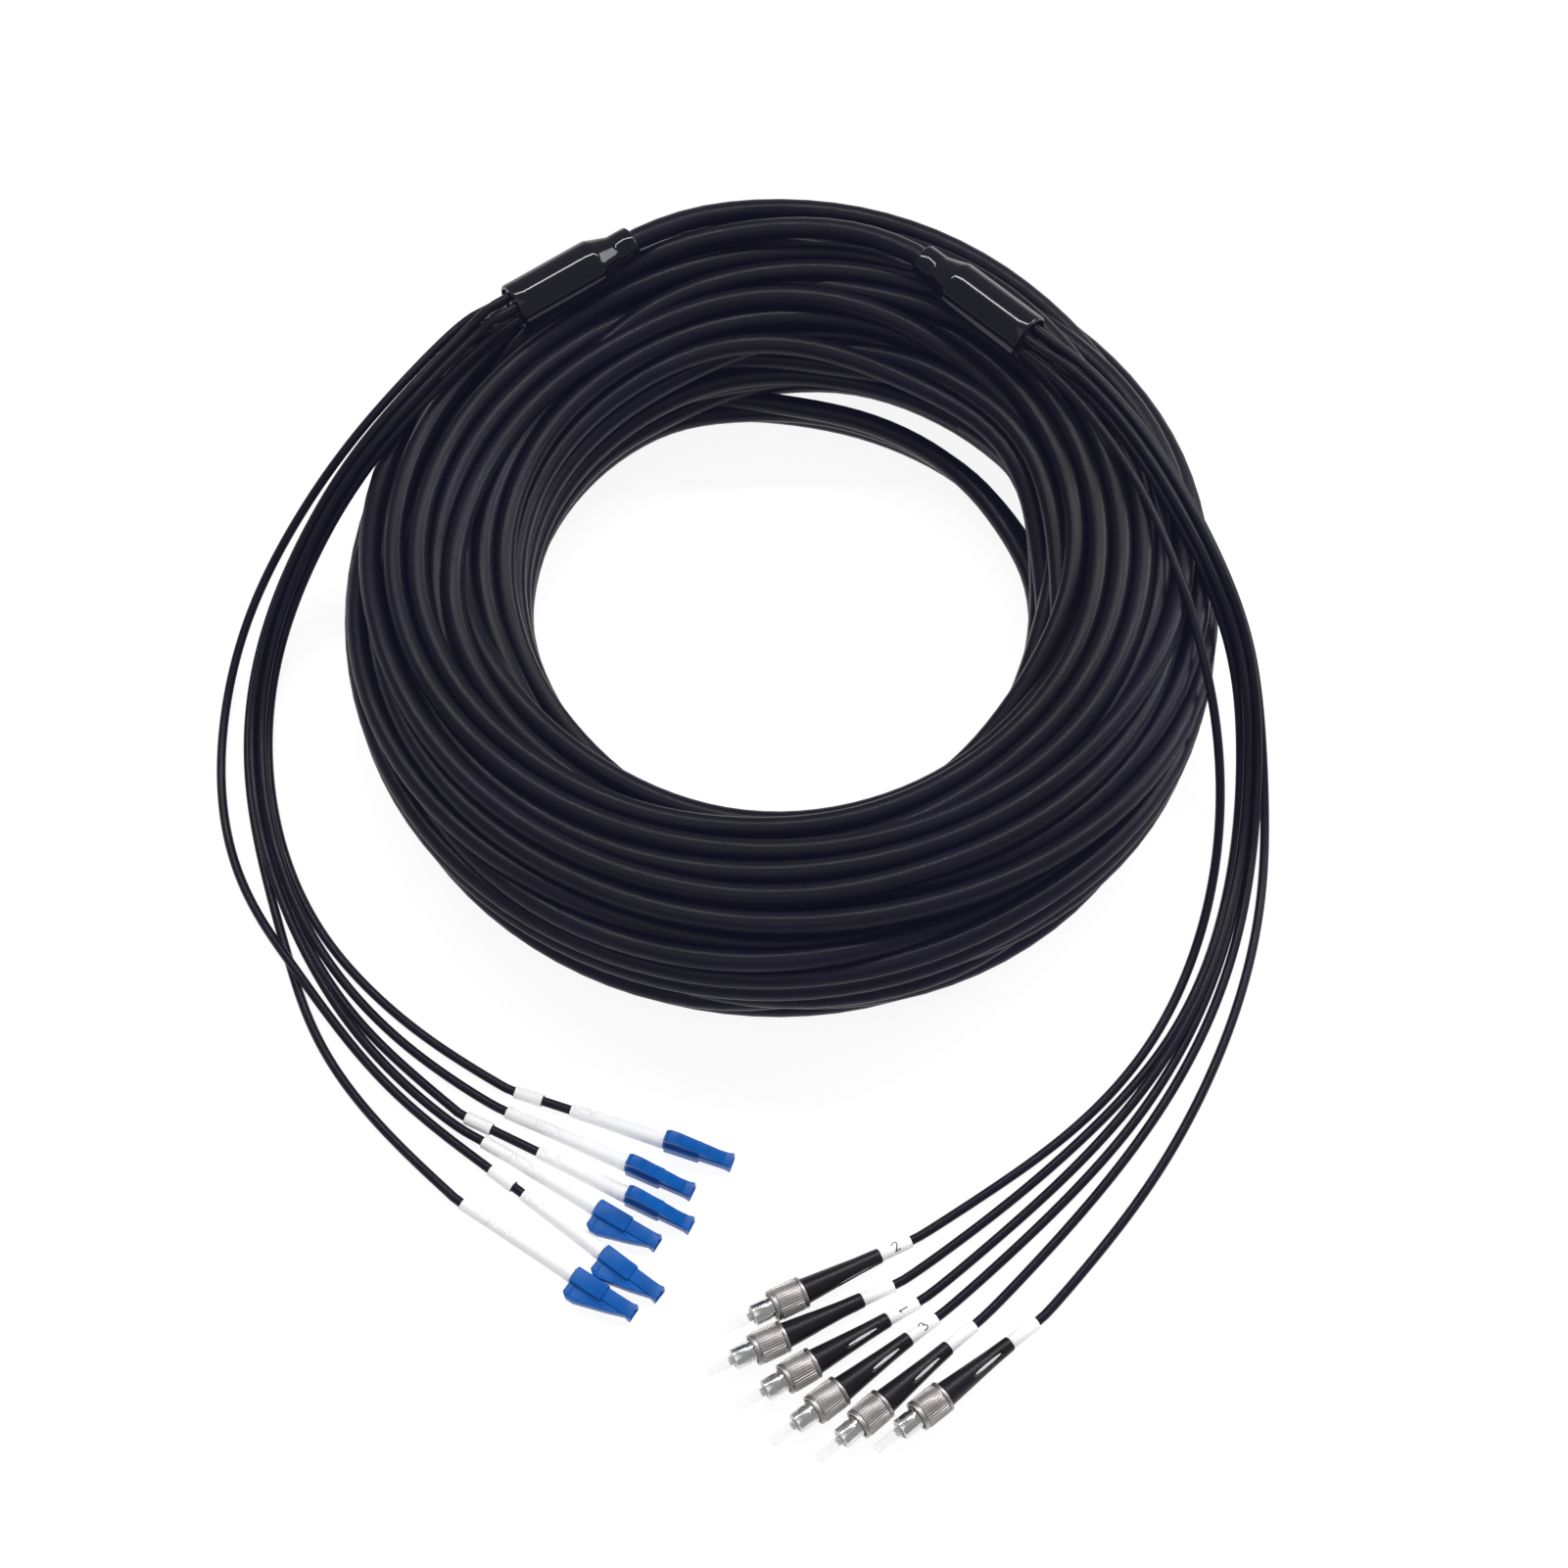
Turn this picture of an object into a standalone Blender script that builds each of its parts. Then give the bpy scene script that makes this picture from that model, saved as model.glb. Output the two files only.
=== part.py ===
"""Fibre breakout cable: a black multi-fibre trunk wound into a loose coil, with a breakout
boot on each end. Six thin tails leave each boot. The left six end in blue latched plugs with
white boots, the right six in threaded metal plugs with black boots and knurled nuts.

Metres, +Z up. The cable lies on the floor, z = 0. The coil's middle is at COIL_PLACE. Route
points and places are measured from it, so that they follow the coil: across the floor in
hundredths of its outer radius, and up in hundredths of its height.
"""

import math

import bmesh
import bpy
from mathutils import Matrix, Vector

for old in list(bpy.data.objects):
    bpy.data.objects.remove(old, do_unlink=True)

MM = 0.001
GAP = 0.3 * MM

# Trunk cable and its coil
TRUNK_D = 7.0 * MM
COIL_BORE_D = 161.0 * MM
COIL_OUTER_D = 283.0 * MM
COIL_HEIGHT = 65.0 * MM
COIL_ROUNDING = 2.6
COIL_STEPS = 28
TURN_GROOVE = 0.24
TURN_FLAT = 0.42
COIL_PLACE = Vector((13.65, 66.38, 0.0)) * MM

# Breakout boots
BREAKOUT_D = 16.4 * MM
BREAKOUT_BODY = 31.0 * MM
BREAKOUT_TAPER = 7.5 * MM
BREAKOUT_NECK = 7.5 * MM
BREAKOUT_NECK_D = 11.0 * MM
BREAKOUT_ROUND = 0.8 * MM
TAIL_RING_R = 4.6 * MM

# Tails and their label sleeves
TAIL_D = 3.0 * MM
TAIL_STEPS = 30
LEAD_STEPS = 13
TAIL_OUT = 5.0 * MM
LEAD_OUT = 6.0 * MM
LANE = 3.4 * MM
LEVEL = 3.0 * MM
LABEL_WALL = 0.35 * MM
LABEL_LENGTH = 9.0 * MM

# Latched plugs, white boot and blue housing
LATCH_BOOT_LENGTH = 31.0 * MM
LATCH_BOOT_TIP_D = 4.2 * MM
LATCH_BOOT_BASE_D = 5.3 * MM
HOUSING_WIDTH = 5.6 * MM
HOUSING_REAR = 11.5 * MM
HOUSING_NOSE = 10.3 * MM
NOSE_WIDTH = 4.5 * MM
NOSE_BORE_D = 3.1 * MM
NOSE_BORE_DEPTH = 5.0 * MM
SMALL_FERRULE_D = 1.3 * MM
FERRULE_SET_BACK = 0.5 * MM
LATCH_WIDTH = 3.4 * MM
LATCH_HEIGHT = 4.4 * MM
LATCH_THICKNESS = 1.1 * MM
LATCH_SET_BACK = 0.4 * MM
LATCH_CORNER = 1.5 * MM
LATCH_THUMB = 3.8 * MM
LATCH_TOE = 2.4 * MM
LATCH_TOE_LENGTH = 5.2 * MM
LATCH_TOE_RISE = 0.9 * MM
LATCH_ROOT = 2.2 * MM
LATCH_CLEARANCE = 0.5 * MM
BOOT_EDGE = 0.2 * MM
JOIN = 0.2 * MM

# Threaded plugs, black boot, barrel with key and capped ferrule, knurled nut
SCREW_BOOT_LENGTH = 26.0 * MM
SCREW_BOOT_TIP_D = 4.7 * MM
SCREW_BOOT_BASE_D = 8.0 * MM
SCREW_LABEL_GAP = 1.5 * MM
BARREL_D = 6.7 * MM
BARREL_FLANGE_D = 7.5 * MM
BARREL_FRONT = 6.6 * MM
FLANGE_LENGTH = 1.5 * MM
KEY_WIDTH = 1.6 * MM
KEY_LENGTH = 4.2 * MM
KEY_RISE = 0.55 * MM
KEY_SET_BACK = 0.9 * MM
BARREL_EDGE = 0.3 * MM
CAP_D = 3.3 * MM
CAP_LENGTH = 9.5 * MM
NUT_D = 10.0 * MM
NUT_LENGTH = 10.5 * MM
NUT_LIP = 2.2 * MM
NUT_BORE_D = 8.2 * MM
NUT_RIM = 1.0 * MM
NUT_EASE = 0.15 * MM
KNURL_DEPTH = 0.3 * MM
KNURL_COUNT = 14

# Colours and finishes: base colour, roughness, metallic
FINISHES = {
    "jacket": ((0.017, 0.016, 0.024, 1.0), 0.38, 0.0),
    "breakout": ((0.012, 0.011, 0.016, 1.0), 0.22, 0.0),
    "label": ((0.86, 0.86, 0.87, 1.0), 0.55, 0.0),
    "white_boot": ((0.88, 0.88, 0.89, 1.0), 0.5, 0.0),
    "blue_housing": ((0.02, 0.12, 0.45, 1.0), 0.35, 0.0),
    "black_boot": ((0.014, 0.014, 0.02, 1.0), 0.35, 0.0),
    "barrel": ((0.82, 0.81, 0.8, 1.0), 0.15, 1.0),
    "nut": ((0.62, 0.58, 0.55, 1.0), 0.32, 1.0),
}

# Breakout boots: middle of the big end, and the heading from the neck to the big end
LEFT_BOOT_END = (-61.34, 60.14)
LEFT_BOOT_HEADING = 214.7
RIGHT_BOOT_END = (56.61, 51.80)
RIGHT_BOOT_HEADING = -42.6

# Trunk leads from the boots' necks onto the coil
LEFT_LEAD = [(-24.4, 85.4, 111.4), (-16.6, 89.8, 106.5), (-8.1, 93.6, 99.4), (0.7, 96.4, 93.8),
             (10.6, 97.2, 91.1), (21.2, 94.9, 91.7), (31.1, 90.1, 94.6)]
RIGHT_LEAD = [(23.3, 81.0, 111.7), (15.5, 83.7, 108.3), (5.7, 84.8, 106.8), (-4.2, 84.4, 106.8),
              (-13.8, 82.4, 106.8)]

# Middle line of each bundle of tails, from its boot over the coil's shoulder to the floor
LEFT_STATIONS = [(-71.3, 53.9, 106.2), (-82.3, 41.6, 100.8), (-91.0, 32.2, 96.2),
                 (-100.8, 24.0, 74.6), (-111.2, 13.4, 43.1), (-119.1, 0.7, 17.7),
                 (-122.6, -16.2, 4.6), (-121.3, -36.4, 2.3), (-116.3, -56.2, 2.3),
                 (-110.8, -69.6, 2.3), (-106.7, -78.0, 2.3), (-102.8, -84.9, 2.3),
                 (-94.3, -97.7, 2.3)]
RIGHT_STATIONS = [(69.8, 42.8, 107.7), (79.1, 32.2, 104.6), (87.3, 17.7, 102.3), (94.3, 1.1, 98.5),
                  (101.2, -10.6, 83.8), (105.4, -17.4, 57.7), (107.6, -23.4, 33.1),
                  (108.6, -30.4, 15.4), (108.7, -40.3, 4.6), (106.3, -56.2, 2.3),
                  (101.4, -75.5, 2.3), (93.5, -94.3, 2.3), (82.8, -110.4, 2.3)]

# Lanes at each station: steps sideways from the middle line, outward positive, one step a
# LANE, and the lift of a tail that lies on others, one step a LEVEL
LEFT_LANES = {
    "1": (-1.3, -1, -1, -1, -1, -1, -1, -1, -1, -1.3, -1.5, -2.3, -3.6),
    "2": (-.5, -.5, -.5, -.5, -.5, -.5, -.5, -.5, -.5, -.5, -.5, -1.1, -1.9),
    "3": (0, 0, 0, 0, 0, 0, 0, 0, 0, 0, 0, 0, -.5),
    "4": (.5, .5, .5, .5, .5, .5, .5, .5, .5, .5, .5, .5, .5),
    "5": (2, 2, 2, 2.2, 2.6, 3.1, 3.2, 3.8, 3.9, 3.1, 1.95, 1.6, 1.3),
    "6": (1, 1, 1, 1, 1, 1, 1, 1, 1, 1.4, 1.95, 2.8, 4.2),
}
LEFT_LIFTS = {
    "2": (1, 1, 1, 1, 1, 1, 1, 1, 1, 1, 1, .3, 0),
    "4": (1, 1, 1, 1, 1, 1, 1, 1, 1, 1, 1, 1, 1),
    "5": (0, 0, 0, 0, 0, 0, 0, 0, 0, .6, 1.25, .7, 0),
}
RIGHT_LANES = {
    "2": (-1, -1, -1, -1, -1, -1, -1, -1, -1, -1, -1, -1, -1.2),
    "3": (-.5, -.5, -.5, -.5, -.5, -.5, -.5, -.5, -.5, -.5, -.5, -.5, -.4),
    "4": (0, 0, 0, 0, 0, 0, 0, 0, 0, 0, 0, 0, .6),
    "5": (.5, .5, .5, .5, .5, .5, .5, .5, .5, .6, .9, 1.1, 1.7),
    "6": (1, 1, 1, 1, 1, 1, 1, 1, 1.2, 2.0, 2.5, 3.1, 4.2),
}
RIGHT_LIFTS = {
    "3": (1, 1, 1, 1, 1, 1, 1, 1, 1, 1, 1, 1, 1),
    "5": (1, 1, 1, 1, 1, 1, 1, 1, 1, .8, .2, 0, 0),
}

# Holes of the tails in a boot's big end: angle from outward towards up
LEFT_HOLES = {"5": 0, "4": 60, "2": 120, "1": 180, "3": 240, "6": 300}
RIGHT_HOLES = {"6": 0, "5": 60, "3": 120, "1": 180, "2": 240, "4": 300}

# The lone inner tail of the right bundle, all the way to its fan
RIGHT_LONE = [(66.8, 37.8, 109.2), (77.6, 23.3, 105.4), (85.9, 3.9, 101.5), (91.4, -16.2, 95.4),
              (95.5, -30.7, 84.6), (97.8, -40.3, 63.1), (99.1, -49.7, 40.0),
              (98.8, -59.7, 19.2), (97.2, -69.0, 7.1), (94.7, -76.0, 2.9)]

# Fan: each tail's own points on the floor between its bundle and its label
FANS = {
    "left_1": [(-76.8, -101.2, 2.3), (-67.1, -106.7, 2.3)],
    "left_2": [(-79.9, -104.2, 2.3), (-70.3, -110.5, 2.3)],
    "left_3": [(-83.7, -105.9, 2.3), (-76.0, -111.9, 2.3)],
    "left_4": [(-83.8, -109.8, 2.3), (-74.9, -117.5, 2.3)],
    "left_5": [(-84.9, -113.4, 2.3), (-73.9, -121.4, 2.3)],
    "left_6": [(-96.3, -110.0, 2.3), (-85.9, -122.8, 2.3), (-76.7, -130.2, 2.3)],
    "right_1": [(86.4, -95.4, 2.3), (76.3, -109.0, 2.3), (64.7, -120.8, 2.3),
                (53.0, -129.3, 2.3), (41.7, -136.7, 2.3)],
    "right_2": [(70.0, -118.7, 2.3), (59.4, -129.0, 2.3), (47.3, -138.9, 2.3),
                (35.3, -147.9, 2.3)],
    "right_3": [(72.1, -121.2, 2.3), (62.2, -131.4, 2.3), (51.2, -141.0, 2.3),
                (40.3, -150.5, 2.3)],
    "right_4": [(74.2, -123.7, 2.3), (65.2, -133.2, 2.3), (55.5, -142.8, 2.3),
                (44.5, -152.8, 2.3)],
    "right_5": [(76.3, -126.1, 2.3), (68.2, -136.3, 2.3), (59.0, -145.9, 2.3),
                (50.2, -155.5, 2.3)],
    "right_6": [(81.3, -132.5, 2.3), (71.4, -144.9, 2.3), (62.5, -155.1, 2.3)],
}

# Plugs: place and heading (degrees); for a latched plug the place is its housing's rear, and
# the last values are the bare cable between label and boot (mm) and the roll of the latch
LATCHED_PLUGS = {
    "1": ((-25.16, -123.18), -19.0, 9.5, 0.0),
    "2": ((-33.22, -128.48), -24.3, 1.5, 0.0),
    "3": ((-33.14, -135.48), -26.5, 16.5, 0.0),
    "4": ((-39.72, -138.37), -31.0, 1.5, 90.0),
    "5": ((-38.16, -148.41), -37.0, 4.0, 90.0),
    "6": ((-44.24, -153.29), -33.0, 1.5, 90.0),
}
# for a screw plug the place is the front of its boot
SCREW_PLUGS = {
    "1": ((4.95, -157.17), -153.1),
    "2": ((0.99, -166.71), -153.7),
    "3": ((7.21, -172.37), -148.7),
    "4": ((12.79, -178.23), -142.1),
    "5": ((21.77, -180.92), -138.9),
    "6": ((34.42, -179.43), -141.3),
}

LABEL_BORE_D = TAIL_D + 2 * GAP
LABEL_D = LABEL_BORE_D + 2 * LABEL_WALL
LIP_BORE_D = BARREL_D + 2 * GAP


def finish(name):
    """The named material as a Principled BSDF, made once."""
    material = bpy.data.materials.get(name)
    if material is None:
        colour, roughness, metallic = FINISHES[name]
        material = bpy.data.materials.new(name)
        material.use_nodes = True
        shader = material.node_tree.nodes["Principled BSDF"]
        shader.inputs["Base Color"].default_value = colour
        shader.inputs["Roughness"].default_value = roughness
        shader.inputs["Metallic"].default_value = metallic
        material.diffuse_color = colour
    return material


def place(name, data, matrix, finish_name):
    """An object of this mesh or curve at a place, linked to the scene."""
    item = bpy.data.objects.new(name, data)
    item.matrix_world = matrix
    if not data.materials:
        data.materials.append(finish(finish_name))
    bpy.context.scene.collection.objects.link(item)
    return item


def soft_edges(mesh):
    """Round surfaces smooth, corners over 40 degrees sharp."""
    mesh.shade_smooth()
    mesh.set_sharp_from_angle(angle=math.radians(40))


def mesh_of(name, build):
    """A mesh filled by a function of a bmesh."""
    mesh = bpy.data.meshes.new(name)
    form = bmesh.new()
    build(form)
    bmesh.ops.recalc_face_normals(form, faces=form.faces)
    form.to_mesh(mesh)
    form.free()
    return mesh


def rings_between(form, rings, closed):
    """Faces between rings of vertices, and from the last ring to the first if closed."""
    pairs = list(zip(rings, rings[1:]))
    if closed:
        pairs.append((rings[-1], rings[0]))
    for first, second in pairs:
        count = len(first)
        for i in range(count):
            j = (i + 1) % count
            form.faces.new((first[i], first[j], second[j], second[i]))


def turned(name, profile, sides, bored):
    """A turned piece about its X axis. A profile is (place along X, radius); a bored one is
    a closed outline, any other is closed by flat ends."""
    def build(form):
        rings = []
        for along, radius in profile:
            ring = []
            for i in range(sides):
                angle = 2 * math.pi * i / sides
                ring.append(form.verts.new((along, radius * math.cos(angle), radius * math.sin(angle))))
            rings.append(ring)
        rings_between(form, rings, bored)
        if not bored:
            form.faces.new(rings[0])
            form.faces.new(rings[-1])
    mesh = mesh_of(name, build)
    soft_edges(mesh)
    return mesh


def coil_outline():
    """The coil's section as (radius, height): a rounded outline on which each turn of the
    trunk shows as a ridge a diameter wide, flat at the bottom where it lies on the floor."""
    middle = (COIL_OUTER_D + COIL_BORE_D) / 4
    half_width = (COIL_OUTER_D - COIL_BORE_D) / 4
    half_height = COIL_HEIGHT / 2
    power = 2 / COIL_ROUNDING

    def on_outline(angle):
        cosine = math.cos(angle)
        sine = math.sin(angle)
        radius = half_width * math.copysign(abs(cosine) ** power, cosine)
        height = half_height * math.copysign(abs(sine) ** power, sine)
        return Vector((radius, height))

    fine = [on_outline(2 * math.pi * i / 720 - math.pi / 2) for i in range(721)]
    lengths = [0.0]
    for first, second in zip(fine, fine[1:]):
        lengths.append(lengths[-1] + (second - first).length)
    ridges = 2 * round(lengths[-1] / TRUNK_D / 2)
    pitch = lengths[-1] / ridges

    def at_length(length):
        length = length % lengths[-1]
        index = max(i for i, reached in enumerate(lengths) if reached <= length)
        index = min(index, len(fine) - 2)
        share = (length - lengths[index]) / (lengths[index + 1] - lengths[index])
        return fine[index].lerp(fine[index + 1], share)

    outline = []
    for ridge in range(ridges):
        for step in (-TURN_FLAT / 2, TURN_FLAT / 2):
            outline.append(at_length((ridge + step) * pitch))
        groove = at_length((ridge + 0.5) * pitch)
        outline.append(groove * (1 - TURN_GROOVE * TRUNK_D / groove.length))
    lowest = min(point.y for point in outline)
    return [(middle + point.x, point.y - lowest) for point in outline]


def build_coil():
    """The trunk's coil: one turned ring about the vertical."""
    outline = coil_outline()

    def build(form):
        rings = []
        for step in range(COIL_STEPS):
            angle = 2 * math.pi * step / COIL_STEPS
            ring = [form.verts.new((r * math.cos(angle), r * math.sin(angle), z)) for r, z in outline]
            rings.append(ring)
        rings_between(form, rings, True)

    mesh = mesh_of("coil", build)
    soft_edges(mesh)
    place("trunk_coil", mesh, Matrix.Translation(COIL_PLACE), "jacket")


def to_frame(point):
    """A route point, in hundredths of the coil's outer radius and height, in the part's frame."""
    across = COIL_OUTER_D / 2 / 100
    up = COIL_HEIGHT / 100
    return Vector((point[0] * across, point[1] * across, point[2] * up)) + COIL_PLACE


def direction(degrees, tilt=0.0):
    """The unit vector of a heading, tilted up by an angle in radians."""
    heading = math.radians(degrees)
    return Vector((math.cos(heading) * math.cos(tilt), math.sin(heading) * math.cos(tilt),
                   math.sin(tilt)))


def smooth_route(points, leave, arrive, steps=12):
    """A smooth curve through the points: cubic pieces whose slope at each point is half the
    way between its neighbours, and along leave and arrive at the ends."""
    slopes = [leave * (points[1] - points[0]).length]
    for before, after in zip(points, points[2:]):
        slopes.append((after - before) / 2)
    slopes.append(arrive * (points[-1] - points[-2]).length)
    route = []
    for i in range(len(points) - 1):
        for step in range(steps):
            t = step / steps
            h00 = 2 * t ** 3 - 3 * t ** 2 + 1
            h10 = t ** 3 - 2 * t ** 2 + t
            h01 = 3 * t ** 2 - 2 * t ** 3
            h11 = t ** 3 - t ** 2
            route.append(points[i] * h00 + slopes[i] * h10 + points[i + 1] * h01 + slopes[i + 1] * h11)
    route.append(points[-1].copy())
    return route


def even_points(route, count):
    """The route again, with this many points at even steps."""
    lengths = [0.0]
    for first, second in zip(route, route[1:]):
        lengths.append(lengths[-1] + (second - first).length)
    points = []
    index = 0
    for step in range(count):
        target = lengths[-1] * step / (count - 1)
        while index < len(route) - 2 and lengths[index + 1] < target:
            index += 1
        share = (target - lengths[index]) / (lengths[index + 1] - lengths[index])
        points.append(route[index].lerp(route[index + 1], share))
    return points


def tube(name, points, diameter, finish_name, resolution):
    """A cord's solid: a curve with a round bevel and filled ends, above the floor."""
    curve = bpy.data.curves.new(name, "CURVE")
    curve.dimensions = "3D"
    curve.bevel_depth = diameter / 2
    curve.bevel_resolution = resolution
    curve.use_fill_caps = True
    spline = curve.splines.new("POLY")
    spline.points.add(len(points) - 1)
    for spot, point in zip(spline.points, points):
        spot.co = (point.x, point.y, max(point.z, diameter / 2), 1.0)
    place(name, curve, Matrix.Identity(4), finish_name)


def breakout_axis_height():
    """The height at which a boot lies on the coil's top."""
    return COIL_HEIGHT + GAP + BREAKOUT_D / 2


def boot_matrix(end, heading):
    """A boot's frame: at the middle of its big end, X from the neck to the big end."""
    spot = to_frame((end[0], end[1], 0))
    spot.z = breakout_axis_height()
    return Matrix.Translation(spot) @ Matrix.Rotation(math.radians(heading), 4, "Z")


def breakout_mesh():
    """A breakout boot: cylinder, short cone and neck, with eased edges."""
    neck_end = -(BREAKOUT_BODY + BREAKOUT_TAPER + BREAKOUT_NECK)
    big = BREAKOUT_D / 2
    neck = BREAKOUT_NECK_D / 2
    profile = [
        (neck_end, neck - BREAKOUT_ROUND),
        (neck_end + BREAKOUT_ROUND, neck),
        (-(BREAKOUT_BODY + BREAKOUT_TAPER), neck),
        (-BREAKOUT_BODY, big),
        (-BREAKOUT_ROUND, big),
        (0.0, big - BREAKOUT_ROUND),
    ]
    return turned("breakout_boot", profile, 16, False)


def build_trunk_ends():
    """Both breakout boots and the trunk leads that run from their necks onto the coil."""
    mesh = breakout_mesh()
    length = BREAKOUT_BODY + BREAKOUT_TAPER + BREAKOUT_NECK
    ends = {
        "left": (LEFT_BOOT_END, LEFT_BOOT_HEADING, LEFT_LEAD),
        "right": (RIGHT_BOOT_END, RIGHT_BOOT_HEADING, RIGHT_LEAD),
    }
    for side, (end, heading, lead) in ends.items():
        matrix = boot_matrix(end, heading)
        place(f"breakout_boot_{side}", mesh, matrix, "breakout")
        start = matrix @ Vector((-length - GAP, 0, 0))
        leave = direction(heading + 180)
        points = [start + leave * LEAD_OUT] + [to_frame(point) for point in lead]
        last = (points[-1] - points[-2]).normalized()
        route = smooth_route(points, leave, last)
        tube(f"trunk_lead_{side}", [start] + even_points(route, LEAD_STEPS), TRUNK_D, "jacket", 3)


def bundle_points(stations, lanes, lifts, outward):
    """A tail's points along its bundle: each station moved square to the middle line, sideways
    by the tail's lane and up by its lift."""
    points = []
    middle = [to_frame(station) for station in stations]
    for i, station in enumerate(middle):
        before = middle[max(i - 1, 0)]
        after = middle[min(i + 1, len(middle) - 1)]
        along = after - before
        side = Vector((-along.y, along.x, 0)).normalized() * outward
        above = along.cross(side).normalized() * outward
        shift = side * lanes[i] * LANE + above * lifts[i] * LEVEL
        points.append(station + shift)
    return points


def build_tail(side, number, plug_start, plug_axis, straight):
    """One tail: straight out of its hole in the boot, along its bundle, through its fan, and
    straight through its label into the boot of its plug."""
    left = side == "left"
    end, heading = (LEFT_BOOT_END, LEFT_BOOT_HEADING) if left else (RIGHT_BOOT_END, RIGHT_BOOT_HEADING)
    stations = LEFT_STATIONS if left else RIGHT_STATIONS
    lanes = (LEFT_LANES if left else RIGHT_LANES).get(number)
    lifts = (LEFT_LIFTS if left else RIGHT_LIFTS).get(number, (0,) * len(stations))
    hole = math.radians((LEFT_HOLES if left else RIGHT_HOLES)[number])
    outward = -1 if left else 1
    offset = Vector((GAP, outward * TAIL_RING_R * math.cos(hole), TAIL_RING_R * math.sin(hole)))
    mouth = boot_matrix(end, heading) @ offset
    points = [mouth + direction(heading) * TAIL_OUT]
    if lanes is None:
        points += [to_frame(point) for point in RIGHT_LONE]
    else:
        points += bundle_points(stations, lanes, lifts, outward)
    points += [to_frame(point) for point in FANS[f"{side}_{number}"]]
    points.append(plug_start)
    route = smooth_route(points, direction(heading), plug_axis)
    free = even_points(route, TAIL_STEPS)
    tube(f"tail_{side}_{number}", [mouth] + free + [plug_start + plug_axis * straight], TAIL_D,
         "jacket", 2)


def plug_matrix(place_at, heading, behind, height_behind, height_at):
    """A plug's frame, which tilts up so that its label's rear and its body both touch the
    floor: its origin is at the label's rear, a length behind the given place."""
    tilt = math.asin((height_at - height_behind) / behind)
    axis = direction(heading, tilt)
    spot = to_frame((place_at[0], place_at[1], 0))
    start = Vector((spot.x, spot.y, height_at)) - axis * behind
    turn = Matrix.Rotation(math.radians(heading), 4, "Z") @ Matrix.Rotation(-tilt, 4, "Y")
    return Matrix.Translation(start) @ turn, start, axis


def along(matrix, distance):
    """The same frame moved forward along its own X."""
    return matrix @ Matrix.Translation((distance, 0, 0))


def label_mesh():
    """A label sleeve round a tail."""
    outer = LABEL_D / 2
    inner = LABEL_BORE_D / 2
    profile = [(0.0, inner), (0.0, outer), (LABEL_LENGTH, outer), (LABEL_LENGTH, inner)]
    return turned("label", profile, 10, True)


def latch_boot_mesh():
    """A white boot of a latched plug: slim at the cable, with a collar at the housing."""
    tip = LATCH_BOOT_TIP_D / 2
    base = LATCH_BOOT_BASE_D / 2
    length = LATCH_BOOT_LENGTH
    profile = [(0.0, tip - BOOT_EDGE), (BOOT_EDGE, tip), (length * 0.35, tip * 0.7 + base * 0.3),
               (length * 0.8, tip * 0.15 + base * 0.85), (length, base)]
    return turned("latch_boot", profile, 12, False)


def block(form, x, y, z):
    """A box between the given limits."""
    corners = [form.verts.new((a, b, c)) for a in x for b in y for c in z]
    for face in ((0, 1, 3, 2), (4, 6, 7, 5), (0, 4, 5, 1), (2, 3, 7, 6), (0, 2, 6, 4), (1, 5, 7, 3)):
        form.faces.new([corners[i] for i in face])


def bar(form, outline, width):
    """A flat outline in X and Z, given a width across."""
    near = [form.verts.new((x, -width / 2, z)) for x, z in outline]
    far = [form.verts.new((x, width / 2, z)) for x, z in outline]
    rings_between(form, [near, far], False)
    form.faces.new(near)
    form.faces.new(far)


def combined(name, steps):
    """One mesh from solids that are joined and cut in turn, each step an operation and a
    mesh."""
    base = bpy.data.objects.new(name + "_work", steps[0][1])
    bpy.context.scene.collection.objects.link(base)
    helpers = [base]
    for operation, mesh in steps[1:]:
        helper = bpy.data.objects.new(name + "_tool", mesh)
        bpy.context.scene.collection.objects.link(helper)
        helpers.append(helper)
        modifier = base.modifiers.new("step", "BOOLEAN")
        modifier.operation = operation
        modifier.solver = "EXACT"
        modifier.object = helper
    bpy.context.view_layer.update()
    shape = base.evaluated_get(bpy.context.evaluated_depsgraph_get())
    result = bpy.data.meshes.new_from_object(shape)
    result.name = name
    for helper in helpers:
        bpy.data.objects.remove(helper, do_unlink=True)
    return result


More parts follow.
